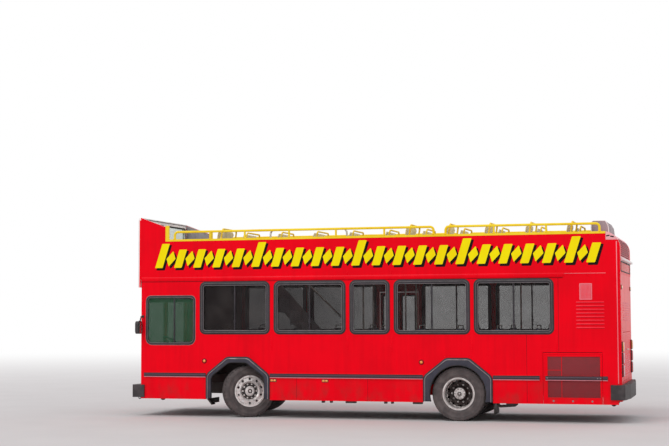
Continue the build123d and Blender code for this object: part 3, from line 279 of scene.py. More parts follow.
def fabric(name, colour, thread, fleck):
    """Moquette: a looped pile in ribs with small flecks, paler where it is worn."""
    made = Finish(name)
    ribs = made.node("TexWave", {"bands_direction": "DIAGONAL"},
                     {"Vector": made.place, "Scale": 90.0, "Distortion": 2.0})
    pile = made.noise(650, 2)
    flecks = made.cells(46) < 0.22
    worn = made.ramp(made.noise(4, 4), 0.45, 0.75)
    tint = made.blend(ribs * 0.5, colour, thread)
    tint = made.blend(flecks * 0.8, tint, fleck)
    tint = made.blend(worn * 0.25, tint, rgb(120, 122, 140))
    relief = made.bump(pile, 0.0009)
    relief = made.bump(ribs, 0.0007, relief)
    return made.surface(Base_Color=tint, Roughness=pile * 0.1 + 0.82, Normal=relief, Sheen_Weight=0.25)


def boards(name, colour, seam):
    """Non-slip flooring in sheets, with grit in it and the wear of feet."""
    made = Finish(name)
    grit = made.ramp(made.cells(210), 0.15, 0.45)
    worn = made.ramp(made.noise(2.1, 5), 0.4, 0.7)
    sheet_length = 1.22
    joint = abs(made.along(0) % sheet_length - sheet_length / 2) < 0.004
    tint = made.blend(grit * 0.25, colour, seam)
    tint = made.blend(worn * 0.4, tint, rgb(132, 126, 118))
    tint = made.blend(joint, tint, seam)
    relief = made.bump(grit, 0.0009)
    return made.surface(Base_Color=tint, Roughness=worn * -0.15 + 0.72, Normal=relief)


def lens(name, colour, deep):
    """A lamp lens with moulded flutes over its reflector."""
    made = Finish(name)
    flutes = made.node("TexWave", {"bands_direction": "Z", "wave_profile": "SIN"},
                       {"Vector": made.place, "Scale": 26.0})
    cross = made.noise(90, 1)
    tint = made.blend(flutes * 0.55 + cross * 0.2, colour, deep)
    relief = made.bump(flutes, 0.0012)
    return made.surface(Base_Color=tint, Roughness=cross * 0.05 + 0.12, Coat_Weight=0.8, Normal=relief)


def gauze(name, colour, hole, pitch):
    """Painted wire gauze: a fine square weave with dark holes."""
    made = Finish(name)
    along, up = (abs(made.along(axis) % pitch - pitch / 2) for axis in (0, 2))
    nearest = made.node("Math", {"operation": "MAXIMUM"}, {0: along, 1: up})
    wire = made.ramp(nearest, pitch * 0.24, pitch * 0.36)
    dust = made.ramp(made.noise(8, 5), 0.4, 0.72)
    tint = made.blend(wire, hole, colour)
    tint = made.blend(dust * 0.3, tint, rgb(120, 60, 62))
    return made.surface(Base_Color=tint, Roughness=dust * 0.2 + 0.6, Normal=made.bump(wire, 0.001))


def dished_steel(name, x, z):
    """The rear rims: bright at the flange and the hub, with painted shade in the sunk dish between."""
    made = Finish(name)
    along, up = made.along(0) - x, made.along(2) - z
    squared = along * along + up * up
    radius = squared.worked("SQRT", squared)
    grit = made.ramp(made.noise(11, 6), 0.35, 0.7)
    # Painted shade: the sunk dish between the flange and the hub is painted dark.
    dish = made.ramp(radius, 0.252, 0.244) * made.ramp(radius, 0.100, 0.112)
    bright = made.blend(grit * 0.45, rgb(222, 216, 214), rgb(132, 120, 116))
    tint = made.blend(dish, bright, rgb(48, 36, 33))
    relief = made.bump(made.noise(80, 3), 0.0004)
    return made.surface(
        Base_Color=tint, Metallic=dish * -0.6 + 0.7, Roughness=grit * 0.2 + dish * 0.25 + 0.34, Normal=relief)


def rubber_tyre(name):
    """Tyre rubber, dusty on the walls and scuffed grey on the tread."""
    made = Finish(name)
    dust = made.ramp(made.noise(9, 6), 0.35, 0.72)
    fine = made.noise(380, 3)
    tint = made.blend(dust * 0.6, rgb(74, 66, 66), rgb(110, 100, 98))
    relief = made.bump(fine, 0.0005)
    return made.surface(Base_Color=tint, Roughness=dust * 0.12 + fine * 0.08 + 0.7, Normal=relief)


def past_board_edge(made):
    """Where the front board is red: on its two outer edges."""
    return (abs(made.along(1)) > 1.2195) * (made.along(0) < 4.748)


# Painted highlight: the upper half of the rounded rear is pale pink.
def cap_top_highlight(made):
    return made.along(2) > 3.327


# Painted shade: the radiator door's parts sunk behind its face are a darker red.
def shaded_behind_door_face(made):
    return made.along(1) < side_y - 0.0045


def on_rail_top(made):
    return made.along(2) > 0.8505


# Painted highlight: the lower lip of a rub rail is painted pale.
def rail_lower_lip_highlight(made):
    return made.along(2) < 0.7865


def rail_middle_highlight(made):
    """The painted highlight line along the middle of a rub rail."""
    return abs(made.along(2) - 0.828) < 0.004


# Each finish: its name, the slot of the record that it stands for, the function that makes it, its values
red, red_shade = rgb(250, 0, 26), rgb(236, 2, 25)
finish_rows = [
    ("red_paint", "body_red", paint, red, red_shade),
    # A lighter red is painted highlight, on the gutter's lip, the vent's backing and the rear louvres
    ("ridge_paint", "body_red", paint, rgb(252, 60, 74), rgb(246, 44, 60)),
    ("board_paint", "board_white", paint, rgb(252, 244, 242), rgb(236, 226, 224), 0.34,
     [(past_board_edge, red)]),
    # The rounded rear's upper half carries a painted highlight in pale pink.
    ("cap_paint", "body_red", paint, red, red_shade, 0.3, [(cap_top_highlight, rgb(244, 176, 180))]),
    # The radiator door's sunk parts carry painted shade in a darker red.
    ("door_paint", "body_red", paint, red, red_shade, 0.3, [(shaded_behind_door_face, rgb(140, 18, 30))]),
    ("yellow_paint", "rail_yellow", paint, rgb(254, 224, 60), rgb(248, 208, 40), 0.3),
    ("hood_paint", "pale_steel", paint, rgb(176, 158, 160), rgb(150, 134, 138), 0.42),
    # Pale pink is painted highlight, on the rear crease, louvres, slats, vent mesh, rear corners and rub
    # rails' lower edges
    ("vent_paint", "body_red", paint, rgb(250, 150, 158), rgb(240, 116, 128), 0.5),
    # Dark red: painted shade under the gutter and the side louvres, and the own colour of the panel seams and
    # marker rings
    ("grille_paint", "body_red", paint, rgb(150, 22, 34), rgb(112, 16, 26), 0.5),
    ("gauze", "body_red", gauze, rgb(150, 22, 34), rgb(74, 10, 18), 0.014),
    ("motif_yellow", "rail_yellow", paint, rgb(255, 238, 10), rgb(252, 226, 8), 0.3),
    ("motif_black", "frame_black", paint, rgb(34, 22, 22), rgb(26, 18, 18), 0.35),
    ("trim_rubber", "trim_rubber", moulded, rgb(46, 45, 58), rgb(72, 70, 84), 420, 0.0003, 0.55),
    # The rub rails' pale lower lip and middle line are painted highlights.
    ("rail_rubber", "trim_rubber", moulded, rgb(44, 28, 38), rgb(70, 50, 60), 420, 0.0003, 0.55, [
        (on_rail_top, rgb(222, 20, 44)), (rail_lower_lip_highlight, rgb(176, 120, 132)), (rail_middle_highlight, rgb(104, 84, 98))]),
    ("bumper_black", "bumper_black", moulded, rgb(44, 38, 40), rgb(84, 76, 78), 260, 0.0005),
    ("frame_dark", "frame_black", moulded, rgb(34, 29, 35), rgb(58, 52, 60), 520, 0.0001, 0.42),
    # Pale metal: painted highlight beads on window frames and arch trims, and the radiator door's real bolts
    # and locks
    ("frame_edge", "pale_steel", metal, rgb(150, 142, 144), rgb(96, 90, 92), 0.35, 0.5),
    ("seal_black", "trim_rubber", moulded, rgb(20, 18, 19), rgb(58, 52, 52), 600, 0.0002, 0.6),
    ("glass", "glass", glass),
    ("tyre_rubber", "tyre", rubber_tyre),
    ("rim_alloy", "rim_alloy", metal, rgb(232, 226, 224), rgb(150, 140, 136), 0.3, 0.5, 16, 0.6),
    ("rim_steel", "rim_steel", metal, rgb(190, 184, 182), rgb(104, 92, 88), 0.38, 0.75, 12, 0.7),
    ("rim_dished", "rim_steel", dished_steel, -1.68, 0.505),
    ("mirror_glass", "pale_steel", metal, rgb(206, 212, 216), rgb(170, 172, 174), 0.03, 0.15),
    # Painted shade on the wheels: the dark rings and the hand holes' dark discs
    ("hub_dark", "iron", enamel, rgb(52, 46, 46), rgb(96, 84, 78)),
    ("chassis_black", "chassis", enamel, rgb(42, 38, 38), rgb(92, 82, 76)),
    ("axle_iron", "iron", enamel, rgb(58, 52, 50), rgb(110, 94, 82), 0.5, 0.7),
    ("deck_boards", "deck_boards", boards, rgb(112, 106, 104), rgb(60, 56, 56)),
    ("shell_plastic", "seat_shell", moulded, rgb(238, 226, 186), rgb(210, 196, 160), 300, 0.0003, 0.4),
    ("hoop_paint", "rail_yellow", paint, rgb(254, 220, 90), rgb(246, 204, 64), 0.35),
    ("seat_moquette", "seat_fabric", fabric, rgb(28, 36, 92), rgb(44, 54, 122), rgb(150, 60, 84)),
    ("lining_pale", "lining", moulded, rgb(152, 146, 148), rgb(116, 110, 112), 500, 0.0002, 0.5),
    ("lining_dark", "dark_panel", moulded, rgb(66, 50, 46), rgb(92, 76, 70), 300, 0.0004, 0.6),
    ("pole_steel", "pale_steel", metal, rgb(214, 208, 198), rgb(150, 142, 132), 0.24, 0.3),
    ("lens_red", "lens", lens, rgb(210, 16, 24), rgb(120, 6, 12)),
    ("lens_amber", "lens", lens, rgb(255, 168, 60), rgb(232, 112, 24)),
    ("lens_clear", "lens", lens, rgb(236, 236, 238), rgb(170, 174, 180)),
    ("engine_grey", "iron", enamel, rgb(92, 96, 98), rgb(60, 54, 50), 0.45, 0.8),
]
finishes, slots = {}, {}
for name, slot, make, *values in finish_rows:
    finishes[name] = make(name, *values)
    slots[name] = slot

# The CAD nodes that have each finish
finish_nodes = {
    "chassis_black": "chassis_rails cross_members fuel_tank wheel_boxes upper_seat_legs",
    "axle_iron": "front_axle rear_axle exhaust knuckle_left knuckle_right tie_rod",
    "engine_grey": "engine",
    "deck_boards": "lower_floor door_steps deck_floor",
    "red_paint": "side_panel_left side_panel_right skirt_left skirt_right upper_side_left upper_side_right "
                 "front_mask rear_wall engine_door front_door_leaf_a front_door_leaf_b rear_door_leaf_a "
                 "rear_door_leaf_b",
    "door_paint": "radiator_door",
    "board_paint": "front_board",
    "cap_paint": "rear_cap",
    "trim_rubber": "arch_trims",
    "rail_rubber": "rub_rails",
    "seal_black": "air_springs steering_wheel",
    "bumper_black": "bumpers mirrors",
    "frame_dark": "window_frames",
    "glass": "glazing",
    "yellow_paint": "deck_rails",
    "hoop_paint": "upper_seat_hoops",
    "shell_plastic": "upper_seat_shells",
    "seat_moquette": "lower_seat_pads",
    "lining_pale": "lower_seat_frames stairs",
    "lining_dark": "driver_seat dashboard partition",
    "pole_steel": "grab_rails",
    "lens_red": "lamps",
    "tyre_rubber": "tyre_front_left tyre_front_right tyres_rear_left tyres_rear_right",
    "rim_alloy": "rim_front_left rim_front_right",
    "rim_dished": "rims_rear_left rims_rear_right",
}
for finish, nodes in finish_nodes.items():
    for node in nodes.split():
        shell = frame["nodes"][node]
        shell.data.materials.clear()
        shell.data.materials.append(finishes[finish])


# Shaping tools

def hold(piece):
    """Selects one piece alone."""
    bpy.ops.object.select_all(action="DESELECT")
    piece.select_set(True)
    bpy.context.view_layer.objects.active = piece


def applied(piece, kind, **settings):
    """Adds a modifier with its settings and applies it."""
    modifier = piece.modifiers.new(kind.lower(), kind)
    for name, setting in settings.items():
        setattr(modifier, name, setting)
    hold(piece)
    bpy.ops.object.modifier_apply(modifier=modifier.name)
    return piece


def ease(piece, edge, steps=2):
    """Rounds a piece's sharp edges."""
    return applied(piece, "BEVEL", width=edge, segments=steps, limit_method="ANGLE", angle_limit=radians(38))


def shaped(piece, moves):
    """Makes moves in edit mode, each on the whole piece, and then points its faces outwards."""
    hold(piece)
    bpy.ops.object.mode_set(mode="EDIT")
    for move, values in moves:
        bpy.ops.mesh.select_all(action="SELECT")
        move(**values)
    bpy.ops.mesh.select_all(action="SELECT")
    bpy.ops.mesh.normals_make_consistent(inside=False)
    bpy.ops.object.mode_set(mode="OBJECT")
    return piece


def block(low, high, edge=0.004, steps=2):
    """A block between two corners with its edges eased."""
    low, high = Vector(low), Vector(high)
    bpy.ops.object.select_all(action="DESELECT")
    bpy.ops.mesh.primitive_cube_add(size=1, location=(low + high) / 2)
    piece = bpy.context.object
    piece.scale = high - low
    bpy.ops.object.transform_apply(location=True, rotation=True, scale=True)
    return ease(piece, edge, steps) if edge else piece


def seat(first, second, depth, flat):
    """A point from its two places in a sheet and the sheet's depth along the flat axis."""
    return Vector({0: (depth, first, second), 1: (first, depth, second), 2: (first, second, depth)}[flat])


def drawn(corners, flat, depth, fill="NOTHING"):
    """An outline through the corners, square to the flat axis at a depth along it."""
    bpy.ops.object.select_all(action="DESELECT")
    bpy.ops.mesh.primitive_circle_add(vertices=len(corners), radius=1, fill_type=fill)
    piece = bpy.context.object
    for vertex, (first, second) in zip(piece.data.vertices, corners):
        vertex.co = seat(first, second, depth, flat)
    return piece


def raised(flat, height):
    """The move that gives a flat outline its thickness."""
    return bpy.ops.mesh.extrude_region_move, {"TRANSFORM_OT_translate": {"value": seat(0, 0, height, flat)}}


def keep_border(width):
    """Takes the middle out of a flat face and leaves a border."""
    bpy.ops.mesh.inset(thickness=width)
    bpy.ops.mesh.delete(type="FACE")


def plate(corners, flat, start, end, rounding=0, band=0, edge=0, steps=3):
    """A sheet of a given outline, square to the flat axis, from start to end along it. With a band, only a
    border of that width is kept."""
    moves = []
    if rounding:
        moves.append((bpy.ops.mesh.bevel, {"affect": "VERTICES", "offset": rounding, "segments": steps}))
    if band:
        moves.append((keep_border, {"width": band}))
    moves.append(raised(flat, end - start))
    piece = shaped(drawn(corners, flat, start, "NGON"), moves)
    return ease(piece, edge) if edge else piece


def between(outer, inner, flat, start, end, edge=0):
    """A closed sheet between two outlines of as many points, from start to end along the flat axis."""
    piece = drawn(outer, flat, start)
    bpy.ops.object.mode_set(mode="EDIT")
    bpy.ops.mesh.select_all(action="SELECT")
    bpy.ops.mesh.extrude_edges_move()
    bpy.ops.object.mode_set(mode="OBJECT")
    for vertex, (first, second) in zip(piece.data.vertices[len(outer):], inner):
        vertex.co = seat(first, second, start, flat)
    shaped(piece, [raised(flat, end - start)])
    return ease(piece, edge) if edge else piece


def rectangle(low, high):
    """The corners of a rectangle from its lowest and highest places."""
    return [(low[0], low[1]), (high[0], low[1]), (high[0], high[1]), (low[0], high[1])]


def quarters(steps):
    """The quarter and the angle of each point of an outline with four corners."""
    turns = [step / steps for step in range(steps + 1)]
    return [(quarter, pi + (quarter + turn) * pi / 2) for quarter in range(4) for turn in turns]


def arched(low, high, lower, upper, steps=6):
    """A rectangle's outline with rounded corners, of one radius below and another above."""
    corners = [(low[0], low[1], lower), (high[0], low[1], lower), (high[0], high[1], upper),
               (low[0], high[1], upper)]
    outline = []
    for quarter, angle in quarters(steps):
        x, z, radius = corners[quarter]
        middle_x = x + radius if quarter in (0, 3) else x - radius
        middle_z = z + radius if quarter < 2 else z - radius
        outline.append((middle_x + radius * cos(angle), middle_z + radius * sin(angle)))
    return outline


def squared(low, high, steps=6):
    """A rectangle's outline with as many points as an arched one has, all on its straight sides."""
    middle = (Vector(low) + Vector(high)) / 2
    half = (Vector(high) - Vector(low)) / 2
    outline = []
    for _, angle in quarters(steps):
        reach = max(abs(cos(angle)), abs(sin(angle)))
        outline.append((middle.x + half.x * cos(angle) / reach, middle.y + half.y * sin(angle) / reach))
    return outline


def bent(points, radius, steps=6):
    """The points of a tube's line, with each inner corner bent to a radius."""
    line = [Vector(point) for point in points]
    made = [line[0]]
    for before, corner, after in zip(line, line[1:], line[2:]):
        back, ahead = (before - corner).normalized(), (after - corner).normalized()
        half = back.angle(ahead) / 2
        longest = min((before - corner).length, (after - corner).length) * 0.49
        reach = min(radius / (sin(half) / cos(half)), longest)
        start, end = corner + back * reach, corner + ahead * reach
        for step in range(steps + 1):
            share = step / steps
            low, high = start.lerp(corner, share), corner.lerp(end, share)
            made.append(low.lerp(high, share))
    made.append(line[-1])
    return made


def tube(points, radius, closed=False, sides=3):
    """A round bar along a line, with capped ends."""
    line = bpy.data.curves.new("tube", "CURVE")
    line.dimensions = "3D"
    line.bevel_depth = radius
    line.bevel_resolution = sides
    line.use_fill_caps = True
    spline = line.splines.new("POLY")
    spline.points.add(len(points) - 1)
    for point, place in zip(spline.points, points):
        point.co = (*place, 1)
    spline.use_cyclic_u = closed
    piece = bpy.data.objects.new("tube", line)
    bpy.context.collection.objects.link(piece)
    hold(piece)
    bpy.ops.object.convert(target="MESH")
    return bpy.context.object


def turned(profile, steps=48):
    """A piece turned about Z from its profile's pairs of height and radius, which close on themselves."""
    spin = {"steps": steps, "angle": 2 * pi, "center": (0, 0, 0), "axis": (0, 0, 1)}
    return shaped(drawn([(radius, height) for height, radius in profile], 1, 0), [
        (bpy.ops.mesh.spin, spin),
        (bpy.ops.mesh.remove_doubles, {"threshold": 0.00005}),
        (bpy.ops.mesh.dissolve_degenerate, {"threshold": 0.00001}),
    ])


def moved(piece, matrix):
    """Puts a piece's mesh somewhere else, turned as the matrix says."""
    piece.data.transform(matrix)
    if matrix.determinant() < 0:
        piece.data.flip_normals()
    piece.data.update()
    return piece


def copy_of(piece):
    """A copy with its own mesh."""
    copy = piece.copy()
    copy.data = piece.data.copy()
    bpy.context.collection.objects.link(copy)
    return copy


def joined(parts):
    """Several pieces as one."""
    bpy.ops.object.select_all(action="DESELECT")
    for part in parts:
        part.select_set(True)
    bpy.context.view_layer.objects.active = parts[0]
    if len(parts) > 1:
        bpy.ops.object.join()
    return bpy.context.view_layer.objects.active


def repeated(piece, places):
    """One piece at each place, all joined. A place is a shift or a matrix."""
    parts = []
    for place in places:
        matrix = place if isinstance(place, Matrix) else Matrix.Translation(place)
        parts.append(moved(copy_of(piece), matrix))
    bpy.data.objects.remove(piece)
    return joined(parts)


across = Matrix.Scale(-1, 4, (0, 1, 0))


def on_side(piece, side):
    """The piece itself on the left, side 1, or its mirror image on the right, side -1."""
    return piece if side > 0 else moved(piece, across)


def both_sides(piece):
    """A piece and its mirror image on the other side, joined."""
    return joined([piece, moved(copy_of(piece), across)])


def facing(place, direction, up=(0, 0, 1)):
    """The matrix that stands a turned piece at a place with its axle along a direction."""
    out = Vector(direction).normalized()
    side = Vector(up).cross(out)
    side = side.normalized() if side.length > 0.001 else Vector((1, 0, 0))
    rise = out.cross(side)
    return Matrix.Translation(place) @ Matrix((side, rise, out)).transposed().to_4x4()


def at_places(piece, places, direction):
    """Copies of a turned piece that face one way, joined."""
    return repeated(piece, [facing(place, direction) for place in places])


def round_about(piece, count, radius, height=0.0):
    """Copies of a piece on a circle about Z."""
    start = Matrix.Translation((radius, 0, height))
    return repeated(piece, [Matrix.Rotation(2 * pi * index / count, 4, "Z") @ start for index in range(count)])


def spaced(limits, pitch):
    """Evenly spaced places between two limits, about a pitch apart."""
    count = round((limits[1] - limits[0]) / pitch)
    return [limits[0] + (limits[1] - limits[0]) * index / count for index in range(1, count)]


def finished(piece, name, finish, body="bus_body", angle=32):
    """Names a piece, gives it its finish, and lets it ride on its body."""
    piece.name = name
    piece.data.name = name
    piece.data.materials.clear()
    piece.data.materials.append(finishes[finish])
    hold(piece)
    bpy.ops.object.shade_smooth_by_angle(angle=radians(angle))
    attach(piece, body)
    return piece


def bolt(radius=0.009, height=0.006):
    """A six-sided bolt head on its washer, standing on the ground plane."""
    rim = 1.35 * radius
    washer = turned([(0, 0), (0, rim), (height * 0.2, rim), (height * 0.3, rim * 0.9), (height * 0.3, 0)], 12)
    bpy.ops.mesh.primitive_cylinder_add(vertices=6, radius=radius, depth=height, location=(0, 0, height * 0.6))
    head = bpy.context.object
    bpy.ops.object.transform_apply(location=True, rotation=True, scale=True)
    return joined([washer, ease(head, height * 0.15, 1)])


def ring_of(inner, outer, low, high, steps=64):
    """A flat ring with eased edges, about Z."""
    ease_by = min((high - low), (outer - inner)) * 0.25
    return turned([
        (low, inner), (low, outer), (high - ease_by, outer), (high, outer - ease_by), (high, inner + ease_by),
        (high - ease_by, inner),
    ], steps)


# The camera stands to the left of the object, a little ahead of square, and looks slightly up

def camera():
    yaw, pitch, roll = (radians(angle) for angle in (16.05, 3.779, -0.182))
    photo_width, focal_pixels, sensor = 669, 1410, 36
    level = Vector((-cos(yaw), -sin(yaw), 0))
    forward = Vector((sin(yaw) * cos(pitch), -cos(yaw) * cos(pitch), sin(pitch)))
    raised = level.cross(forward)
    right = cos(roll) * level + sin(roll) * raised
    up = cos(roll) * raised - sin(roll) * level
    view = bpy.data.cameras.new("view")
    view.sensor_width = sensor
    view.lens = focal_pixels * sensor / photo_width
    view.clip_start, view.clip_end = 0.1, 600
    held = bpy.data.objects.new("view", view)
    turned_to = Matrix((right, up, -forward)).transposed().to_4x4()
    held.matrix_world = Matrix.Translation((-6.770, 27.173, 1.957)) @ turned_to
    bpy.context.collection.objects.link(held)
    bpy.context.scene.camera = held


def studio():
    """A pale floor that fades to white, an even sky and one broad soft lamp."""
    world = bpy.data.worlds.new("studio")
    bpy.context.scene.world = world
    world.use_nodes = True
    nodes, links = world.node_tree.nodes, world.node_tree.links
    nodes.clear()
    path = nodes.new("ShaderNodeLightPath")
    sky, white, mix = (nodes.new("ShaderNode" + kind) for kind in ("Background", "Background", "MixShader"))
    sky.inputs["Color"].default_value = rgb(250, 251, 255)
    sky.inputs["Strength"].default_value = 0.86
    seen = path.outputs["Is Camera Ray"]
    for name in ("Is Glossy Ray", "Is Transmission Ray"):
        either = nodes.new("ShaderNodeMath")
        either.operation = "MAXIMUM"
        links.new(seen, either.inputs[0])
        links.new(path.outputs[name], either.inputs[1])
        seen = either.outputs[0]
    links.new(seen, mix.inputs[0])
    links.new(sky.outputs[0], mix.inputs[1])
    links.new(white.outputs[0], mix.inputs[2])
    white.inputs["Color"].default_value = (1, 1, 1, 1)
    links.new(mix.outputs[0], nodes.new("ShaderNodeOutputWorld").inputs[0])
    bpy.ops.object.select_all(action="DESELECT")
    floor_radius, floor_drop = 150, 0.001
    bpy.ops.mesh.primitive_circle_add(
        vertices=96, radius=floor_radius, fill_type="NGON", location=(0, 0, -floor_drop))
    floor = bpy.context.object
    bpy.ops.object.transform_apply(location=True, rotation=True, scale=True)
    floor.name = "studio_floor"
    ground = Finish("studio_floor")
    far = ground.node("VectorMath", {"operation": "LENGTH"}, {0: ground.place}, output="Value")
    ray = ground.node("LightPath", output="Is Camera Ray")
    fade_start, fade_end = 7, 55
    fade = ground.ramp(far, fade_start, fade_end) * ray
    tint = ground.blend(ground.noise(0.8, 4), rgb(212, 208, 207), rgb(203, 199, 198))
    plain = ground.node("BsdfDiffuse", values={"Color": tint})
    glow = ground.node("Emission", values={"Color": (1, 1, 1, 1), "Strength": 1.0})
    mixed = ground.node("MixShader", values={0: fade, 1: plain, 2: glow})
    floor.data.materials.append(ground.node_output(mixed))
    lamp = bpy.data.lights.new("soft_lamp", "SUN")
    lamp.energy = 0.85
    lamp.angle = radians(34)
    lamp.color = (1.0, 0.985, 0.96)
    held = bpy.data.objects.new("soft_lamp", lamp)
    held.matrix_world = Vector((0.35, 0.75, 0.9)).to_track_quat("Z", "Y").to_matrix().to_4x4()
    bpy.context.collection.objects.link(held)
    bpy.context.scene.view_settings.view_transform = "Standard"


# The ornament and the mouldings of the sides

def ornament():
    """Slanted bars and lozenges in yellow over their black shadows, along both upper side panels."""
    first_x, pitch, count, every = 4.33, 0.404, 22, 5
    low_z, height, extra, lean_share = 2.92, 0.36, 0.12, 0.32
    bar, lozenge, corner = 0.160, 0.098, 0.014
    shadow_drop, shadow_grow = 0.036, 0.011
    layers = [("shadow", "motif_black", 0.0010, shadow_grow), ("face", "motif_yellow", 0.0022, 0)]
    for side, side_name in ((1, "left"), (-1, "right")):
        for layer, finish, proud, grow in layers:
            shift = (-side * shadow_drop, 0, -shadow_drop) if grow else (0, 0, 0)
            parts = []
            for tall in (False, True):
                rise = height + extra * tall
                lean = -side * rise * lean_share
                low, high, half = low_z - grow, low_z + rise + grow, bar / 2 + grow
                corners = [(-half, low), (half, low), (half + lean, high), (lean - half, high)]
                shape = plate(corners, 1, side * (side_y - 0.001), side * (side_y + proud), corner)
                places = [Vector((first_x - i * pitch, 0, 0)) + Vector(shift)
                          for i in range(count) if (i % every == 0) == tall]
                parts.append(repeated(shape, places))
            lean = -side * height * lean_share
            middle = low_z + height / 2
            half, tall_half = lozenge + grow, height * 0.42 + grow
            tip = lean * 0.42
            corners = [(-tip, middle - tall_half), (half, middle), (tip, middle + tall_half), (-half, middle)]
            shape = plate(corners, 1, side * (side_y - 0.001), side * (side_y + proud), corner)
            start = first_x - pitch / 2 + lean / 2
            places = [Vector((start - i * pitch, 0, 0)) + Vector(shift) for i in range(count - 1)]
            parts.append(repeated(shape, places))
            finished(joined(parts), f"ornament_{layer}_{side_name}", finish)


def strip(x, z, proud, finish, name, rise=0.008):
    """A moulding along both sides, between two places X, at a height."""
    edge = min(proud, rise) * 0.4
    bar = block((x[0], side_y - 0.002, z - rise / 2), (x[1], side_y + proud, z + rise / 2), edge)
    return finished(both_sides(bar), name, finish)


def cover(x, low_z, high_z):
    """A thin cover strip over an upright joint of the left side's panels."""
    half = 0.014
    return block((x - half, side_y - 0.002, low_z), (x + half, side_y + 0.0025, high_z), 0.001)


def side_mouldings():
    """The gutter over the windows with its rivets, and the thin cover strips between panels."""
    gutter_rear, gutter_front = -3.66, 4.70
    section = [(side_y + proud, z) for proud, z in (
        (-0.002, 2.736), (0.013, 2.716), (0.016, 2.694), (0.013, 2.664), (0.004, 2.650), (-0.002, 2.650))]
    finished(both_sides(plate(section, 0, gutter_rear, gutter_front, edge=0.003)), "gutter", "red_paint")
    # Painted highlight: a lighter red strip along the gutter's lip. Painted shade: a dark red strip under the
    # gutter.
    strip((gutter_rear - 0.02, gutter_front), 2.728, 0.010, "ridge_paint", "gutter_lip_highlight", rise=0.010)
    strip((gutter_rear + 0.02, gutter_front), 2.645, 0.003, "grille_paint", "gutter_shade", rise=0.009)
    # Painted highlight: a pale strip along the rear crease.
    strip((-4.42, gutter_rear), 2.724, 0.006, "vent_paint", "crease_rear")
    joints = (1.967, 0.443, -0.425, -1.958, -3.52)
    covers = [cover(x, 1.30, window_z[0] - 0.02) for x in joints]
    covers += [cover(x, 2.735, 2.86) for x in (3.52,) + joints]
    finished(both_sides(joined(covers)), "panel_covers", "red_paint")
    count, first_x, pitch = 34, 4.55, 0.27
    places = [(first_x - index * pitch, side_y + 0.0155, 2.694) for index in range(count)]
    finished(both_sides(at_places(bolt(0.007, 0.005), places, (0, 1, 0))), "crease_rivets", "red_paint")


# Windows and doors

def window_ring(low, high, corners, side, sizes):
    """A band round a window. Corners are its radii below and above. Sizes are how far the band grows out of
    the frame, its width, its depth into the side, its height over the side and its rounding."""
    grow, width, depth, proud, edge = sizes
    outlines = []
    for reach in (grow, grow - width):
        outlines.append(arched((low[0] - reach, low[1] - reach), (high[0] + reach, high[1] + reach),
                               corners[0] + reach, corners[1] + reach))
    return between(*outlines, 1, side * (side_y - depth), side * (side_y + proud), edge)


def window_frames():
    """Rounded rubber frames in the place of the plain ones, each with its seal, painted highlight beads, sash
    and latches.
    """
    frames, seals, beads, latches = [], [], [], []
    bands = [
        (frames, (0, 0.078, 0.040, 0.011, 0.014)), (seals, (0.006, 0.014, 0.001, 0.005, 0.002)),
        (beads, (-0.068, 0.008, 0.020, 0.0085, 0.0015)), (beads, (-0.030, 0.004, 0.001, 0.0118, 0.001)),
    ]
    sash_half, latch_half, latch_heights = 0.013, 0.021, (1.86, 2.40)
    for side, rows in ((1, left_windows), (-1, right_windows)):
        for front, rear, sash in rows:
            low, high = (rear, window_z[0]), (front, window_z[1])
            for parts, sizes in bands:
                parts.append(window_ring(low, high, window_corners, side, sizes))
            if not sash:
                continue
            middle = (front + rear) / 2
            bar = block((middle - sash_half, side_y - 0.036, low[1] + 0.06),
                        (middle + sash_half, side_y - 0.004, high[1] - 0.06), 0.005)
            frames.append(on_side(bar, side))
            for z in latch_heights:
                latch = block((middle - latch_half, side_y - 0.020, z - 0.03),
                              (middle + latch_half, side_y + 0.001, z + 0.03), 0.005)
                latches.append(on_side(latch, side))
    driver_window(frames, seals, beads)
    rings = finished(joined(frames), "window_rings", "frame_dark")
    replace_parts(rings, "window_frames")
    finished(joined(seals), "window_seals", "seal_black")
    finished(joined(beads), "window_highlight_beads", "frame_edge")
    finished(joined(latches), "window_latches", "frame_dark")


def driver_window(frames, seals, beads):
    """The driver's window, more rounded below than above, with a red panel from its frame to the opening."""
    low, high, corners, band = (3.558, 1.408), (4.592, 2.364), (0.125, 0.090), 0.036
    cut_low, cut_high, lap = (3.537, 1.388), (4.632, 2.404), 0.004
    rim = squared((cut_low[0] - lap, cut_low[1] - lap), (cut_high[0] + lap, cut_high[1] + lap))
    inside = arched((low[0] + lap, low[1] + lap), (high[0] - lap, high[1] - lap),
                    corners[0] - lap, corners[1] - lap)
    finished(between(rim, inside, 1, side_y - 0.03, side_y + 0.0005), "driver_window_panel", "red_paint")
    bands = [
        # The pale bead rings round the driver's window are painted highlights.
        (seals, (0.004, 0.010, 0.001, 0.004, 0.001)), (beads, (0.012, 0.007, 0.001, 0.0035, 0.001)),
        (beads, (0.005 - band, 0.005, 0.012, 0.0085, 0.001)), (frames, (0, band, 0.040, 0.009, 0.011)),
    ]
    for parts, sizes in bands:
        parts.append(window_ring(low, high, corners, 1, sizes))
    sash_x, sash_half, glass_y, inset = 4.00, 0.013, side_y - 0.0225, 0.03
    frames.append(block((sash_x - sash_half, glass_y - 0.014, low[1] + inset),
                        (sash_x + sash_half, glass_y + 0.016, high[1] - inset), 0.004))
    for low_z, high_z in ((low[1] + 0.026, low[1] + 0.052), (high[1] - 0.056, high[1] - 0.028)):
        rail = block((low[0] + inset, glass_y - 0.012, low_z), (sash_x, glass_y + 0.014, high_z), 0.004)
        frames.append(rail)
    blind = block((3.60, inner_y - 0.05, 2.24), (4.57, inner_y - 0.03, 2.36), 0.006)
    finished(blind, "driver_blind", "lining_dark")


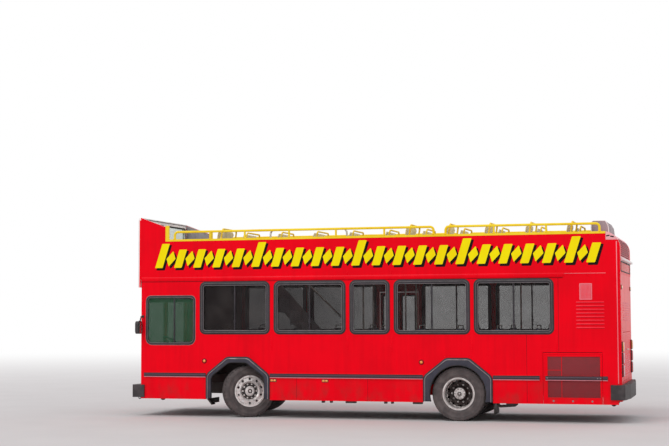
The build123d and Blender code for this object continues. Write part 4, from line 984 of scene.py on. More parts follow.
def door_leaves():
    """The four glazed leaves on the right, each with its rubber edge, panes, rail, handle and kick plate."""
    y, z, stile, rail = (-side_y, -side_y + 0.032), (0.392, 2.445), 0.062, (1.20, 1.28)
    lights = [(z[0] + 0.09, rail[0]), (rail[1], z[1] - 0.07)]
    leaves = [("front_door_leaf_a", -1), ("front_door_leaf_b", 1), ("rear_door_leaf_a", -1),
              ("rear_door_leaf_b", 1)]
    for body, out in leaves:
        low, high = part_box(body)
        hinge_x = high.x if out < 0 else low.x
        x = sorted([hinge_x + out * 0.004, hinge_x + out * (high.x - low.x)])
        bars = [block((at, y[0], z[0]), (at + stile, y[1], z[1]), 0.008, 3) for at in (x[0], x[1] - stile)]
        for low_z, high_z in ((z[0], lights[0][0]), rail, (lights[1][1], z[1])):
            bars.append(block((x[0] + stile - 0.004, y[0] + 0.002, low_z),
                              (x[1] - stile + 0.004, y[1] - 0.002, high_z), 0.003))
        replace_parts(finished(joined(bars), body + "_frame", "red_paint", body), body)
        panes, gaskets = [], []
        for low_z, high_z in lights:
            for parts, lap, sizes in ((panes, 0.006, (y[0] + 0.012, y[0] + 0.020, 0.02, 0, 0.001)),
                                      (gaskets, 0.012, (y[0] - 0.004, y[1] + 0.002, 0.03, 0.024, 0.003))):
                corners = rectangle((x[0] + stile - lap, low_z - lap), (x[1] - stile + lap, high_z + lap))
                parts.append(plate(corners, 1, *sizes))
        finished(joined(panes), body + "_panes", "glass", body)
        finished(joined(gaskets), body + "_gaskets", "seal_black", body)
        free_x, middle_y = x[1] if out > 0 else x[0], y[0] + 0.016
        edge = tube([(free_x, middle_y, z[0] + 0.01), (free_x, middle_y, z[1] - 0.01)], 0.0022, sides=2)
        finished(edge, body + "_rubber", "seal_black", body)
        grip_x, grip_low, grip_high, reach = free_x - out * 0.05, 1.02, 1.62, 0.045
        line = [(grip_x, y[1] - 0.002, grip_low), (grip_x, y[1] + reach, grip_low),
                (grip_x, y[1] + reach, grip_high), (grip_x, y[1] - 0.002, grip_high)]
        finished(tube(bent(line, 0.03), 0.012), body + "_handle", "pole_steel", body)
        middle, kick_half = sum(x) / 2, 0.15
        kick = block((middle - kick_half, y[0] - 0.0015, z[0] + 0.012),
                     (middle + kick_half, y[0] + 0.004, z[0] + 0.078), 0.001)
        finished(kick, body + "_kick_plate", "pole_steel", body)


# Wheels

def tyre_profile():
    """One tyre's section: tread with four grooves, rounded shoulders, ribbed walls and an inner liner."""
    half_outer = [
        (0.112, 0.2905), (0.121, 0.303), (0.131, 0.330), (0.1365, 0.352), (0.1395, 0.3545),
        (0.1395, 0.3585), (0.1375, 0.361), (0.1392, 0.392), (0.1382, 0.430), (0.1400, 0.4325),
        (0.1398, 0.4365), (0.1365, 0.439), (0.1310, 0.466), (0.1235, 0.487), (0.1120, 0.4985),
        (0.0860, 0.5025), (0.0845, 0.4925), (0.0755, 0.4925), (0.0740, 0.5035), (0.0360, 0.5045),
        (0.0345, 0.4935), (0.0255, 0.4935), (0.0240, 0.5048),
    ]
    half_inner = [(0.0, 0.478), (0.085, 0.474), (0.112, 0.455), (0.122, 0.410), (0.118, 0.350),
                  (0.102, 0.3005)]
    outer = half_outer + [(-height, radius) for height, radius in reversed(half_outer)]
    inner = [(-height, radius) for height, radius in reversed(half_inner[1:])] + half_inner
    return outer + inner


def tyre():
    """A tyre about Z, with a ring of sunk lugs on each shoulder."""
    steps = 88
    piece = turned(tyre_profile(), steps)
    hold(piece)
    bpy.ops.object.mode_set(mode="EDIT")
    bpy.ops.mesh.select_all(action="DESELECT")
    bpy.ops.object.mode_set(mode="OBJECT")
    bpy.context.tool_settings.mesh_select_mode = (False, False, True)
    for face in piece.data.polygons:
        height, radius = abs(face.center.z), face.center.xy.length
        angle = face.center.xy.angle_signed(Vector((1, 0)))
        step = int(round((angle / (2 * pi) * steps) - 0.5))
        face.select = 0.095 < height < 0.128 and radius > 0.488 and step % 2 == 0
        for index in face.vertices if face.select else []:
            piece.data.vertices[index].select = True
    bpy.ops.object.mode_set(mode="EDIT")
    bpy.ops.mesh.inset(thickness=0.0015, depth=-0.007, use_individual=True)
    bpy.ops.object.mode_set(mode="OBJECT")
    return piece


def wheel_nuts(count, circle, height, radius=0.016, rise=0.026):
    """A ring of wheel nuts with their studs, about Z."""
    nut = turned([(0, 0), (0, radius * 1.45), (0.004, radius * 1.4), (0.005, radius),
                  (rise * 0.7, radius * 0.95), (rise * 0.75, radius * 0.55), (rise, radius * 0.5),
                  (rise, 0)], 6)
    return round_about(nut, count, circle, height)


def hand_holes(circle, low, high, radius):
    """Dark discs of painted shade in the ten hand holes of a wheel's disc."""
    return round_about(turned([(low, 0), (low, radius), (high, radius), (high, 0)], 20), 10, circle)


def front_wheel_fittings():
    """What stands on a front wheel's disc, about Z: the nuts, the hub ring and its cap bolts, the flange's
    bead, the valve and a balance weight, and in the second piece the dark rings and hand holes."""
    valve = tube(bent([(0.262, 0, 0.085), (0.262, 0, 0.115), (0.248, 0, 0.145)], 0.01), 0.005)
    weight = block((-0.03, -0.3035, 0.104), (0.03, -0.2935, 0.120), 0.002)
    bright = [
        wheel_nuts(10, 0.135, 0.072, 0.0175, 0.028),
        ring_of(0.286, 0.2935, 0.100, 0.1175),
        ring_of(0.046, 0.072, 0.128, 0.1420, 40),
        turned([(0.130, 0), (0.130, 0.020), (0.146, 0.018), (0.150, 0.010), (0.151, 0)], 24),
        round_about(bolt(0.007, 0.006), 8, 0.084, 0.1165),
        moved(valve, Matrix.Rotation(radians(200), 4, "Z")),
        moved(weight, Matrix.Rotation(radians(12), 4, "Z")),
    ]
    # Painted shade: dark rings round the nuts and the hub, and dark discs in the hand holes.
    dark = [
        ring_of(0.112, 0.160, 0.0755, 0.0772, 56),
        ring_of(0.020, 0.046, 0.130, 0.1385, 40),
        ring_of(0.094, 0.112, 0.0760, 0.1080, 56),
        ring_of(0.158, 0.166, 0.0755, 0.0810, 56),
        hand_holes(0.236, 0.060, 0.099, 0.0236),
    ]
    return joined(bright), joined(dark)


def rear_wheel_fittings():
    """What stands in a rear wheel's dish, about Z: the nuts, the flange's beads, the hub's ten lobes and its
    dome, and in the second piece the dark ring and hand holes."""
    lobe = turned([(0.004, 0), (0.004, 0.0165), (0.030, 0.0150), (0.034, 0.009), (0.034, 0)], 14)
    bright = [
        wheel_nuts(10, 0.168, -0.088, 0.015, 0.026),
        ring_of(0.272, 0.2945, 0.098, 0.1185),
        ring_of(0.262, 0.273, 0.040, 0.1060),
        round_about(lobe, 10, 0.088),
        turned([(0.013, 0), (0.013, 0.052), (0.024, 0.050), (0.030, 0.040), (0.032, 0.0)], 40),
        turned([(0.036, 0), (0.036, 0.018), (0.044, 0.016), (0.046, 0)], 24),
    ]
    # Painted shade: a dark ring at the hub and dark discs in the hand holes.
    dark = [ring_of(0.020, 0.036, 0.030, 0.0345, 40), hand_holes(0.228, -0.095, -0.050, 0.0235)]
    return joined(bright), joined(dark)


def road_wheels():
    """Tyres in the place of the plain ones, and the fittings of each wheel."""
    pattern = tyre()
    joints = {joint["name"]: joint for joint in frame["joints"]}
    for joint_name, body, side, offsets in wheels:
        joint, twin = joints[joint_name], len(offsets) > 1
        centre = Vector(joint["pos_m"])
        out = Vector((0, side, 0)) if twin else side * Vector(joint["axis"])
        copies = [moved(copy_of(pattern), facing(centre + out * offset, out)) for offset in offsets]
        node = body.replace("wheel", "tyre")
        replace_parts(finished(joined(copies), node + "_tread", "tyre_rubber", body, 40), node)
        bright, dark = rear_wheel_fittings() if twin else front_wheel_fittings()
        place = facing(centre + out * offsets[0], out)
        finished(moved(bright, place), body + "_nuts", "rim_steel" if twin else "rim_alloy", body)
        finished(moved(dark, place), body + "_shade_rings", "hub_dark", body)
    bpy.data.objects.remove(pattern)


# Seats and linings

def inflated(piece, reach):
    """Blows a closed piece up as cloth, and lets no point go further than the reach."""
    before = [vertex.co.copy() for vertex in piece.data.vertices]
    cloth = piece.modifiers.new("cloth", "CLOTH")
    cloth.settings.quality = 5
    cloth.settings.use_pressure = True
    cloth.settings.uniform_pressure_force = 4
    cloth.settings.effector_weights.gravity = 0
    last_frame = 20
    for step in range(1, last_frame + 1):
        bpy.context.scene.frame_set(step)
    hold(piece)
    bpy.ops.object.modifier_apply(modifier=cloth.name)
    bpy.context.scene.frame_set(1)
    for vertex, place in zip(piece.data.vertices, before):
        shift = vertex.co - place
        if shift.length > reach:
            vertex.co = place + shift * (reach / shift.length)


def fitted(piece, full, seams):
    """Brings a pad to its full size with a flat underside, and sinks its edges and its seams on top."""
    margin, crown_depth, seam_depth, seam_width, side_share = 0.003, 0.016, 0.007, 0.014, 0.3
    vertices = piece.data.vertices
    lowest = min(vertex.co.z for vertex in vertices) + 0.006
    for vertex in vertices:
        vertex.co.z = max(vertex.co.z, lowest)
    ends = [[pick(vertex.co[axis] for vertex in vertices) for pick in (min, max)] for axis in range(3)]
    for vertex in vertices:
        for axis, (low, high) in enumerate(ends):
            inset = margin if axis < 2 else 0
            vertex.co[axis] = inset + (vertex.co[axis] - low) * (full[axis] - 2 * inset) / (high - low)
        middle, side = vertex.co.x / full.x * 2 - 1, vertex.co.y / full.y * 2 - 1
        if vertex.co.z > side_share * full.z:
            crown = crown_depth * (middle * middle + side * side) / 2
            sewn = sum(seam_depth * exp(-((vertex.co[axis] - place) / seam_width) ** 2)
                       for axis, place in seams)
            vertex.co.z -= (crown + sewn) * (vertex.co.z / full.z - side_share) / (1 - side_share)
    piece.data.update()
    bpy.context.view_layer.update()


def seam_points(piece, full, axis, place):
    """Points on a pad's top along a seam."""
    points = []
    for step in range(21):
        along = (0.03 + 0.94 * step / 20) * full[1 - axis]
        spot = (place, along) if axis == 0 else (along, place)
        hit, point = piece.ray_cast((*spot, full.z * 2), (0, 0, -1))[:2]
        if hit:
            points.append(point)
    return points


def piping_points(piece, full):
    """Points round a pad's sides at two thirds of its height."""
    points, height, beyond = [], full.z * 0.66, 1.4
    middle = Vector((full.x / 2, full.y / 2, height))
    for x, y in squared((0, 0), (full.x, full.y), 12)[:-1]:
        start = middle + (Vector((x, y, height)) - middle) * beyond
        hit, point = piece.ray_cast(start, (middle - start).normalized())[:2]
        if hit and (not points or (points[-1] - point).length > 0.004):
            points.append(point)
    return points


def blown(size, seams):
    """A pad of a size, its corner at the origin: blown up as cloth, flat beneath, and sewn across its top.
    Each seam is the axis it is square to and its place. Gives the pad, and its threads with its piping."""
    full = Vector(size)
    piece = block((0, 0, 0), (full.x, full.y, full.z * 0.75), 0.016, 3)
    applied(piece, "REMESH", mode="VOXEL", voxel_size=0.012)
    inflated(piece, 0.014)
    fitted(piece, full, seams)
    threads = [tube(seam_points(piece, full, axis, place), 0.0016, sides=1) for axis, place in seams]
    threads.append(tube(piping_points(piece, full), 0.003, closed=True, sides=1))
    return piece, joined(threads)


upright = Matrix(((0, 0, 1, 0), (1, 0, 0, 0), (0, 1, 0, 0), (0, 0, 0, 1)))


def padded(piece, name):
    piece = finished(piece, name, "seat_moquette", angle=60)
    return piece


def lower_seats():
    """The fabric cushions and backs of the lower seats, with their piping and a grip on each back."""
    rows = [(x, 0.545) for x in lower_left_rows] + [(x, -1.145) for x in lower_right_rows]
    depth, width, thick, back_height, back_thick = 0.40, 0.60, 0.09, 0.52, 0.08
    cushion, cushion_threads = blown((depth, width, thick), [(1, width / 2), (0, 0.13), (0, 0.26)])
    back, back_threads = blown((width, back_height, back_thick), [(0, width / 2), (1, 0.15), (1, 0.36)])
    places = [Matrix.Translation((x, y, lower_seat_z)) for x, y in rows]
    standing = [Matrix.Translation((x - back_thick, y, lower_seat_z)) @ upright for x, y in rows]
    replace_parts(padded(repeated(cushion, places), "lower_seat_cushions"), "lower_seat_pads")
    padded(repeated(back, standing), "lower_seat_backs")
    piping = joined([repeated(cushion_threads, places), repeated(back_threads, standing)])
    finished(piping, "lower_seat_piping", "lining_dark")
    grip_x, foot_z, top_z = -0.05, 1.70, 1.775
    line = [(grip_x, 0.05, foot_z), (grip_x, 0.05, top_z), (grip_x, 0.55, top_z), (grip_x, 0.55, foot_z)]
    grips = repeated(tube(bent(line, 0.04), 0.011), [(x, y, 0) for x, y in rows])
    finished(grips, "lower_seat_grips", "pole_steel")


def driver_seat():
    """The driver's cushion and leaning backrest, on a pedestal with bellows."""
    depth, width, thick, rake = 0.42, 0.48, 0.11, 10
    rest_width, rest_height, rest_thick = 0.46, 0.62, 0.10
    seat_pad, seat_threads = blown((depth, width, thick), [(1, 0.12), (1, 0.36)])
    rest_pad, rest_threads = blown((rest_width, rest_height, rest_thick), [(0, 0.12), (0, 0.34), (1, 0.46)])
    seat_place = Matrix.Translation(driver_place - Vector((0, width / 2, 0)))
    hinge = Matrix.Translation((driver_place.x, 0, driver_place.z + thick))
    lean = hinge @ Matrix.Rotation(radians(-rake), 4, "Y")
    rest_place = lean @ Matrix.Translation((-0.105, driver_place.y - rest_width / 2, -0.03)) @ upright
    threads = joined([moved(seat_threads, seat_place), moved(rest_threads, rest_place)])
    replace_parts(padded(moved(seat_pad, seat_place), "driver_cushion"), "driver_seat")
    padded(moved(rest_pad, rest_place), "driver_backrest")
    finished(threads, "driver_piping", "lining_dark")
    bellows = [(0.88, 0), (0.88, 0.17), (0.90, 0.17), (0.91, 0.11)]
    for fold in range(5):
        bellows += [(0.94 + fold * 0.06, 0.125), (0.97 + fold * 0.06, 0.10)]
    pedestal = turned(bellows + [(1.25, 0.13), (1.299, 0.15), (1.299, 0)], 40)
    place = Matrix.Translation((driver_place.x + depth / 2, driver_place.y, 0.001))
    finished(moved(pedestal, place), "driver_pedestal", "lining_dark")


def upper_seats():
    """Moulded shells for two on the upper deck, hollowed for each place, instead of the plain ones."""
    side_line = [(0.398, 0, 3.208), (0.388, 0, 3.246), (0.20, 0, 3.238), (0.016, 0, 3.240),
                 (-0.054, 0, 3.655)]
    line, width, hollow_depth, corner_drop = bent(side_line, 0.06, 8), 0.86, 0.020, 0.05
    lengths = [0]
    for before, after in zip(line, line[1:]):
        lengths.append(lengths[-1] + (after - before).length)
    bpy.ops.object.select_all(action="DESELECT")
    bpy.ops.mesh.primitive_grid_add(x_subdivisions=26, y_subdivisions=24, size=1)
    shell = bpy.context.object
    for vertex in shell.data.vertices:
        share, sideways = vertex.co.y + 0.5, vertex.co.x + 0.5
        target = share * lengths[-1]
        index = max(step for step in range(len(line) - 1) if lengths[step] <= target + 0.000001)
        reached = (target - lengths[index]) / (lengths[index + 1] - lengths[index])
        spot = line[index].lerp(line[index + 1], reached)
        ahead = (line[index + 1] - line[index]).normalized()
        outward = Vector((ahead.z, 0, -ahead.x))
        off_centre = abs((sideways * 2) % 1 - 0.5) * 2
        hollow = hollow_depth * (1 - off_centre ** 2) ** 1.5 * sin(pi * share) ** 0.5
        corner = max(0, (abs(sideways * 2 - 1) - 0.84) / 0.16) ** 2 * max(0, (share - 0.86) / 0.14) ** 1.5
        vertex.co = spot - outward * hollow + Vector((0, sideways * width, -corner_drop * corner))
    shaped(applied(shell, "SOLIDIFY", thickness=0.012, offset=0), [])
    right_y, left_y = -1.15, 0.29
    places = [(x, right_y, 0) for x in upper_rows]
    places += [(x, left_y, 0) for index, x in enumerate(upper_rows) if index not in rows_beside_stairwell]
    shells = finished(repeated(ease(shell, 0.003), places), "upper_seat_mouldings", "shell_plastic", angle=50)
    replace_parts(shells, "upper_seat_shells")


def linings():
    """Pale linings on the inner faces of the upper sides and of the fins, with their joint covers."""
    low_z, high_z, face = 2.800, 3.430, inner_y - 0.001
    fin = [(4.128, low_z), (4.655, low_z), (4.655, 3.025), (4.714, 3.025), (4.714, 3.912), (4.196, 3.720),
           (4.196, 3.436), (4.128, 3.436)]
    finished(both_sides(plate(fin, 1, inner_y - 0.005, face, edge=0.001)), "fin_linings", "lining_pale")
    covers = [block((-4.185, inner_y - 0.005, low_z), (4.124, face, high_z), 0.001)]
    for x in (-3.70, -2.90, -2.10, -1.36, -0.28, 0.675, 1.62, 2.53, 3.25, 4.0):
        covers.append(block((x - 0.025, inner_y - 0.010, low_z), (x + 0.025, inner_y - 0.002, high_z), 0.002))
    finished(both_sides(joined(covers)), "side_linings", "lining_pale")


# Fittings of the underside, the ends and the sides

def underside():
    """What shows under the skirts: the splash flaps, the pipe and its box, a hook and the brackets."""
    pipe = [(-2.37, 1.05, 0.43), (-2.42, 1.05, 0.28), (-2.72, 1.02, 0.30), (-2.80, 1.02, 0.43)]
    hook = [(4.78, 1.14, 0.385), (4.78, 1.14, 0.335), (4.74, 1.14, 0.335), (4.74, 1.14, 0.365)]
    dark = [
        plate([(3.335, 0.352), (3.290, 0.352), (3.212, 0.240), (3.238, 0.232)], 1, 0.98, 1.15, edge=0.003),
        block((3.314, 0.50, 0.25), (3.330, 0.98, 0.352), 0.003),
        block((-2.352, 0.62, 0.13), (-2.336, 1.15, 0.47), 0.004),
        tube(bent(pipe, 0.05), 0.026),
        block((-2.76, 0.95, 0.30), (-2.56, 1.12, 0.44), 0.012),
        block((-4.30, 1.08, 0.385), (-4.05, 1.15, 0.42), 0.006),
        tube(bent(hook, 0.015), 0.008),
    ]
    for x, length in ((0.95, 0.05), (0.79, 0.04), (0.40, 0.20), (-0.28, 0.05), (-0.41, 0.04), (-0.90, 0.18)):
        dark.append(block((x - length / 2, 1.10, 0.306), (x + length / 2, 1.19, 0.352), 0.005))
    finished(joined(dark), "underside_fittings", "chassis_black")


def slats(x, half_width, first_z, pitch, height, count, edge):
    """A row of level slats across the bus, one over the other."""
    heights = [first_z + pitch * index for index in range(count)]
    return [block((x[0], -half_width, z), (x[1], half_width, z + height), edge) for z in heights]


def end_fittings():
    """The windscreens' gaskets and wipers, the front grille, the bumper's strip and bolts, and the louvres and
    the handle of the rear."""
    face = front_x
    outline = rectangle((0.008, 1.308), (1.092, 2.442))
    gasket = plate(outline, 0, face - 0.004, face + 0.009, 0.07, 0.030, 0.004)
    finished(both_sides(gasket), "windscreen_gaskets", "seal_black")
    pivot = turned([(0, 0), (0, 0.022), (0.022, 0.020), (0.026, 0.014), (0.026, 0)], 24)
    wiper = joined([
        tube([(face + 0.020, 0.95, 1.27), (face + 0.030, 0.55, 1.62)], 0.006, sides=2),
        tube([(face + 0.016, 0.30, 1.50), (face + 0.016, 0.82, 1.76)], 0.006, sides=2),
        moved(pivot, facing((face, 0.95, 1.27), (1, 0, 0))),
    ])
    twin = moved(copy_of(wiper), Matrix.Translation((0, -1.26, 0)))
    finished(joined([wiper, twin]), "wipers", "seal_black")
    bars = slats((face - 0.002, face + 0.010), 0.56, 0.790, 0.024, 0.010, 6, 0.002)
    outline = rectangle((-0.58, 0.775), (0.58, 0.935))
    border = plate(outline, 0, face - 0.002, face + 0.012, 0.02, 0.016, 0.003)
    finished(joined(bars + [border]), "front_grille", "trim_rubber")
    finished(block((4.890, -0.90, 0.480), (4.8965, 0.90, 0.505), 0.002), "bumper_strip", "seal_black")
    heads = at_places(bolt(0.012, 0.008), [(4.8885, y, 0.55) for y in (-0.95, -0.35, 0.35, 0.95)], (1, 0, 0))
    finished(heads, "bumper_bolts", "pole_steel")
    # Painted highlight: the louvres of the rear wall and the engine door are pale pink.
    x = (rear_x - 0.010, rear_x + 0.002)
    finished(joined(slats(x, 0.70, 1.860, 0.045, 0.016, 8, 0.003)), "rear_wall_louvres", "vent_paint")
    lid = slats(x, 0.62, 0.840, 0.040, 0.016, 10, 0.003)
    finished(joined(lid), "engine_door_louvres", "vent_paint", "engine_door")
    grip_x = rear_x - 0.032
    line = [(rear_x, -0.09, 1.32), (grip_x, -0.09, 1.32), (grip_x, 0.09, 1.32), (rear_x, 0.09, 1.32)]
    finished(tube(bent(line, 0.015), 0.007), "engine_door_handle", "pole_steel", "engine_door")


def wire_mesh(x, z, pitch, wire, y):
    """A square mesh of thin bars in an upright sheet that faces sideways."""
    bars = [block((at - wire, y[0], z[0]), (at + wire, y[1], z[1]), 0) for at in spaced(x, pitch)]
    inside = (y[0] + 0.0004, y[1] - 0.0004)
    bars += [block((x[0], inside[0], at - wire), (x[1], inside[1], at + wire), 0) for at in spaced(z, pitch)]
    return joined(bars)


def louvres(x, heights, face, proud, rise):
    """Pressed louvres on a side, each a lip that sheds water."""
    lips = []
    for z in heights:
        section = [(face - 0.001, z), (face + proud, z), (face + proud, z + 0.004), (face - 0.001, z + rise)]
        lips.append(plate(section, 0, *x, edge=0.0012))
    return joined(lips)


def side_vents():
    """The meshed vent and the louvres behind the last windows, and the seams of the rear panels."""
    x, z = (-4.171, -3.943), (2.24, 2.54)
    outline = rectangle((x[0], z[0]), (x[1], z[1]))
    # Painted highlight: the vent's border and mesh are pale pink.
    border = plate(outline, 1, side_y - 0.001, side_y + 0.008, 0.012, 0.016, 0.0012)
    mesh = wire_mesh(x, z, 0.022, 0.0034, (side_y + 0.001, side_y + 0.005))
    finished(both_sides(joined([border, mesh])), "vent_mesh", "vent_paint")
    inset = 0.008
    # Painted highlight: the backing behind the mesh is a lighter red.
    back = block((x[0] + inset, side_y - 0.001, z[0] + inset),
                 (x[1] - inset, side_y + 0.0012, z[1] - inset), 0)
    finished(both_sides(back), "vent_back", "ridge_paint")
    heights = [1.725 + 0.066 * row for row in range(8)]
    # Painted highlight: the louvre lips are a lighter red. Painted shade: a dark red strip under each lip.
    lips = louvres((-4.385, -3.880), heights, side_y, 0.008, 0.024)
    finished(both_sides(lips), "rear_louvres", "ridge_paint")
    shades = [block((-4.38, side_y - 0.001, z - 0.005), (-3.885, side_y + 0.0008, z), 0) for z in heights]
    finished(both_sides(joined(shades)), "louvre_shades", "grille_paint")
    seams = [(-2.971, -2.965, 0.37, 1.60), (-3.560, -3.554, 1.30, 2.69), (0.05, 0.055, 0.36, 0.77),
             (1.46, 1.465, 0.36, 0.77)]
    lines = [block((rear, side_y - 0.001, low), (front, side_y + 0.0012, high), 0)
             for rear, front, low, high in seams]
    finished(both_sides(joined(lines)), "panel_seams", "grille_paint")
    # Painted highlight: a pale bead down each rear corner.
    corner = block((-4.627, side_y - 0.001, 0.72), (-4.613, side_y + 0.003, 3.30), 0.001)
    finished(both_sides(corner), "corner_highlight_beads", "vent_paint")


def radiator_fittings():
    """The gauze, the frame, the length of rub rail and the locks of the radiator door."""
    body, x, z, lap, band = "radiator_door", (-4.298, -3.345), (0.462, 1.209), 0.004, 0.016
    gauze_sheet = block((x[0] - lap, side_y - 0.0055, z[0] - lap),
                        (x[1] + lap, side_y - 0.0035, z[1] + lap), 0.0008)
    finished(gauze_sheet, "radiator_gauze", "gauze", body)
    outline = rectangle((x[0] - band, z[0] - band), (x[1] + band, z[1] + band))
    ribs = [
        block((-3.606, side_y - 0.013, z[0]), (-3.596, side_y - 0.001, z[1]), 0.002),
        block((-3.600, side_y - 0.012, 0.957), (x[1], side_y - 0.001, 0.965), 0.002),
        plate(outline, 1, side_y - 0.010, side_y + 0.003, 0.012, 0.018, 0.0012),
        block((-4.33, side_y - 0.001, 1.252), (-3.272, side_y + 0.005, 1.264), 0.0015),
    ]
    finished(joined(ribs), "radiator_frame", "red_paint", body)
    rear, front = radiator_rail[0] - 0.0005, radiator_rail[1] + 0.0005
    finished(block((rear, side_y - 0.002, 0.7745), (front, side_y + 0.0232, 0.8575), 0.005, 3),
             "radiator_rail", "rail_rubber", body)
    spots = [(at, side_y + 0.0225, rail_z) for at in (-4.30, -4.25, -3.34)]
    heads = at_places(bolt(0.008, 0.005), spots, (0, 1, 0))
    lock = turned([(0, 0), (0, 0.018), (0.003, 0.016), (0.004, 0)], 20)
    locks = at_places(lock, [(at, side_y, 0.40) for at in (-4.15, -3.80, -3.45)], (0, 1, 0))
    finished(joined([heads, locks]), "radiator_bolts", "frame_edge", body)


def rail_edges():
    """The dark upper edge of the rub rails, the painted highlight along their lower edge, and their bolts."""
    heads, edges = [], {"seal_black": [], "vent_paint": []}
    for side, runs in ((1, left_rails), (-1, right_rails)):
        for run in runs + ([radiator_rail] if side > 0 else []):
            for finish, z in (("seal_black", 0.8505), ("vent_paint", 0.7715)):
                low, high = (run[0] + 0.003, side_y + 0.004, z), (run[1] - 0.003, side_y + 0.0242, z + 0.005)
                piece = on_side(block(low, high, 0.0012), side)
                if run == radiator_rail:
                    finished(piece, "radiator_rail_" + finish, finish, "radiator_door")
                else:
                    edges[finish].append(piece)
        for run in runs:
            heads += [facing((at, side * (side_y + 0.021), rail_z), (0, side, 0)) for at in spaced(run, 0.42)]
    for finish, parts in edges.items():
        finished(joined(parts), "rail_edge_" + finish, finish)
    finished(repeated(bolt(0.006, 0.004), heads), "rail_bolts", "trim_rubber")


def arch_line(centre, half, flat, shoulder, top, corner=0.0, y=0.0):
    """The line of a wheel arch from foot to foot, over its shoulders and flat top, with bent corners."""
    low = 0.362
    left = [(-half, low), (-half, shoulder), (-flat, top)]
    points = [(centre + x, y, z) for x, z in left + [(-x, z) for x, z in reversed(left)]]
    return bent(points, corner) if corner else [Vector(point) for point in points]


def arch_trims():
    """Rounded rubber trims in the place of the plain ones, each with a painted highlight bead near its outer
    edge.
    """
    fills, trims, beads, lines = [], [], [], []
    y, hub_x, hub_z = side_y + 0.024, -1.68, 0.505
    round_radius, round_start, round_sweep = 0.532, -15.8, 211.6
    for centre, is_round in ((2.665, False), (-1.677, True)):
        cut = arch_line(centre, 0.661, 0.2253, 0.8355, 1.203)
        outer = arch_line(centre, 0.650, 0.222, 0.826, 1.166, 0.15)
        inner = arch_line(centre, 0.552, 0.178, 0.786, 1.064, 0.15)
        if is_round:
            turn = [radians(round_start + round_sweep * step / 40) for step in range(40, -1, -1)]
            inner = [Vector((hub_x + round_radius * cos(angle), 0, hub_z + round_radius * sin(angle)))
                     for angle in turn]
        flat_lines = [[(point.x, point.z) for point in line] for line in (cut, outer, inner)]
        cut_flat, outer_flat, inner_flat = flat_lines
        fills.append(plate(cut_flat + outer_flat[::-1], 1, side_y - 0.04, side_y + 0.0005))
        trims.append(plate(outer_flat + inner_flat[::-1], 1, inner_y - 0.004, y, edge=0.010))
        beads.append(tube(arch_line(centre, 0.622, 0.211, 0.814, 1.138, 0.13, y - 0.001), 0.0085, sides=2))
        lines.append(tube([(point.x, y - 0.012, point.z) for point in outer], 0.009, sides=2))
        lines.append(tube([(point.x, y - 0.010, point.z) for point in inner], 0.010, sides=2))
    finished(both_sides(joined(fills)), "arch_panels", "red_paint")
    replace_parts(finished(both_sides(joined(trims)), "arch_rubbers", "trim_rubber"), "arch_trims")
    finished(both_sides(joined(beads)), "arch_highlight_beads", "frame_edge")
    finished(both_sides(joined(lines)), "arch_lips", "seal_black")


# Lamps and mirrors

def lamps():
    """Head, turn, marker and rear lamps in their bezels, in the place of the plain ones."""
    ends = [(front_x, side * y, 0.86) for y in (0.93, 0.76) for side in (1, -1)]
    bezel = turned([(0, 0.070), (0, 0.091), (0.014, 0.089), (0.025, 0.081), (0.021, 0.070)], 48)
    lens_shape = [(0.004, 0), (0.004, 0.071), (0.016, 0.069), (0.026, 0.054), (0.031, 0.028), (0.032, 0)]
    finished(at_places(bezel, ends, (1, 0, 0)), "headlamp_bezels", "pole_steel")
    finished(at_places(turned(lens_shape, 40), ends, (1, 0, 0)), "headlamp_lenses", "lens_clear")
    surrounds, ambers, reds = [], [], []

    def pod(low, high, lenses, edge=0.008, rim=0.010):
        """A lens between two corners and its mirror image, each on a slightly larger black surround."""
        low, high = Vector(low), Vector(high)
        thin = min(range(3), key=lambda axis: high[axis] - low[axis])
        outward = high[thin] if thin == 1 or high[0] > 0 else low[thin]
        start = low[thin] if outward == high[thin] else high[thin]
        grow = Vector([0 if axis == thin else rim for axis in range(3)])
        base_low, base_high = low - grow, high + grow
        base_low[thin], base_high[thin] = sorted((start, start + (outward - start) * 0.6))
        lenses.append(both_sides(block(low, high, edge, 3)))
        surrounds.append(both_sides(block(base_low, base_high, 0.004)))

    pod((front_x - 0.002, 1.045, 0.795), (front_x + 0.022, 1.115, 0.925), ambers)
    for middle in (1.935, 0.893):
        for x in (middle - 0.056, middle + 0.004):
            pod((x, side_y - 0.002, 0.704), (x + 0.052, side_y + 0.018, 0.742), ambers, 0.009, 0.008)
    pod((rear_x - 0.018, 0.955, 2.44), (rear_x + 0.002, 1.095, 2.50), ambers)
    for low_z, high_z, lenses in ((1.300, 1.470, ambers), (1.080, 1.270, reds), (0.850, 1.050, reds)):
        pod((rear_x - 0.036, 0.985, low_z), (rear_x + 0.002, 1.145, high_z), lenses, 0.012, 0.008)
    rings = turned([(0, 0.028), (0, 0.050), (0.008, 0.048), (0.014, 0.038), (0.009, 0.028)], 32)
    spots = turned([(0.002, 0), (0.002, 0.029), (0.012, 0.026), (0.020, 0.014), (0.022, 0)], 24)
    markers = [(x, side_y, 1.09) for x in (3.357, -0.988)]
    finished(both_sides(at_places(rings, markers, (0, 1, 0))), "marker_rings", "grille_paint")
    finished(both_sides(at_places(spots, markers, (0, 1, 0))), "marker_lenses", "lens_amber")
    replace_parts(finished(joined(surrounds), "lamp_surrounds", "bumper_black"), "lamps")
    finished(joined(ambers), "amber_lenses", "lens_amber")
    finished(joined(reds), "red_lenses", "lens_red")


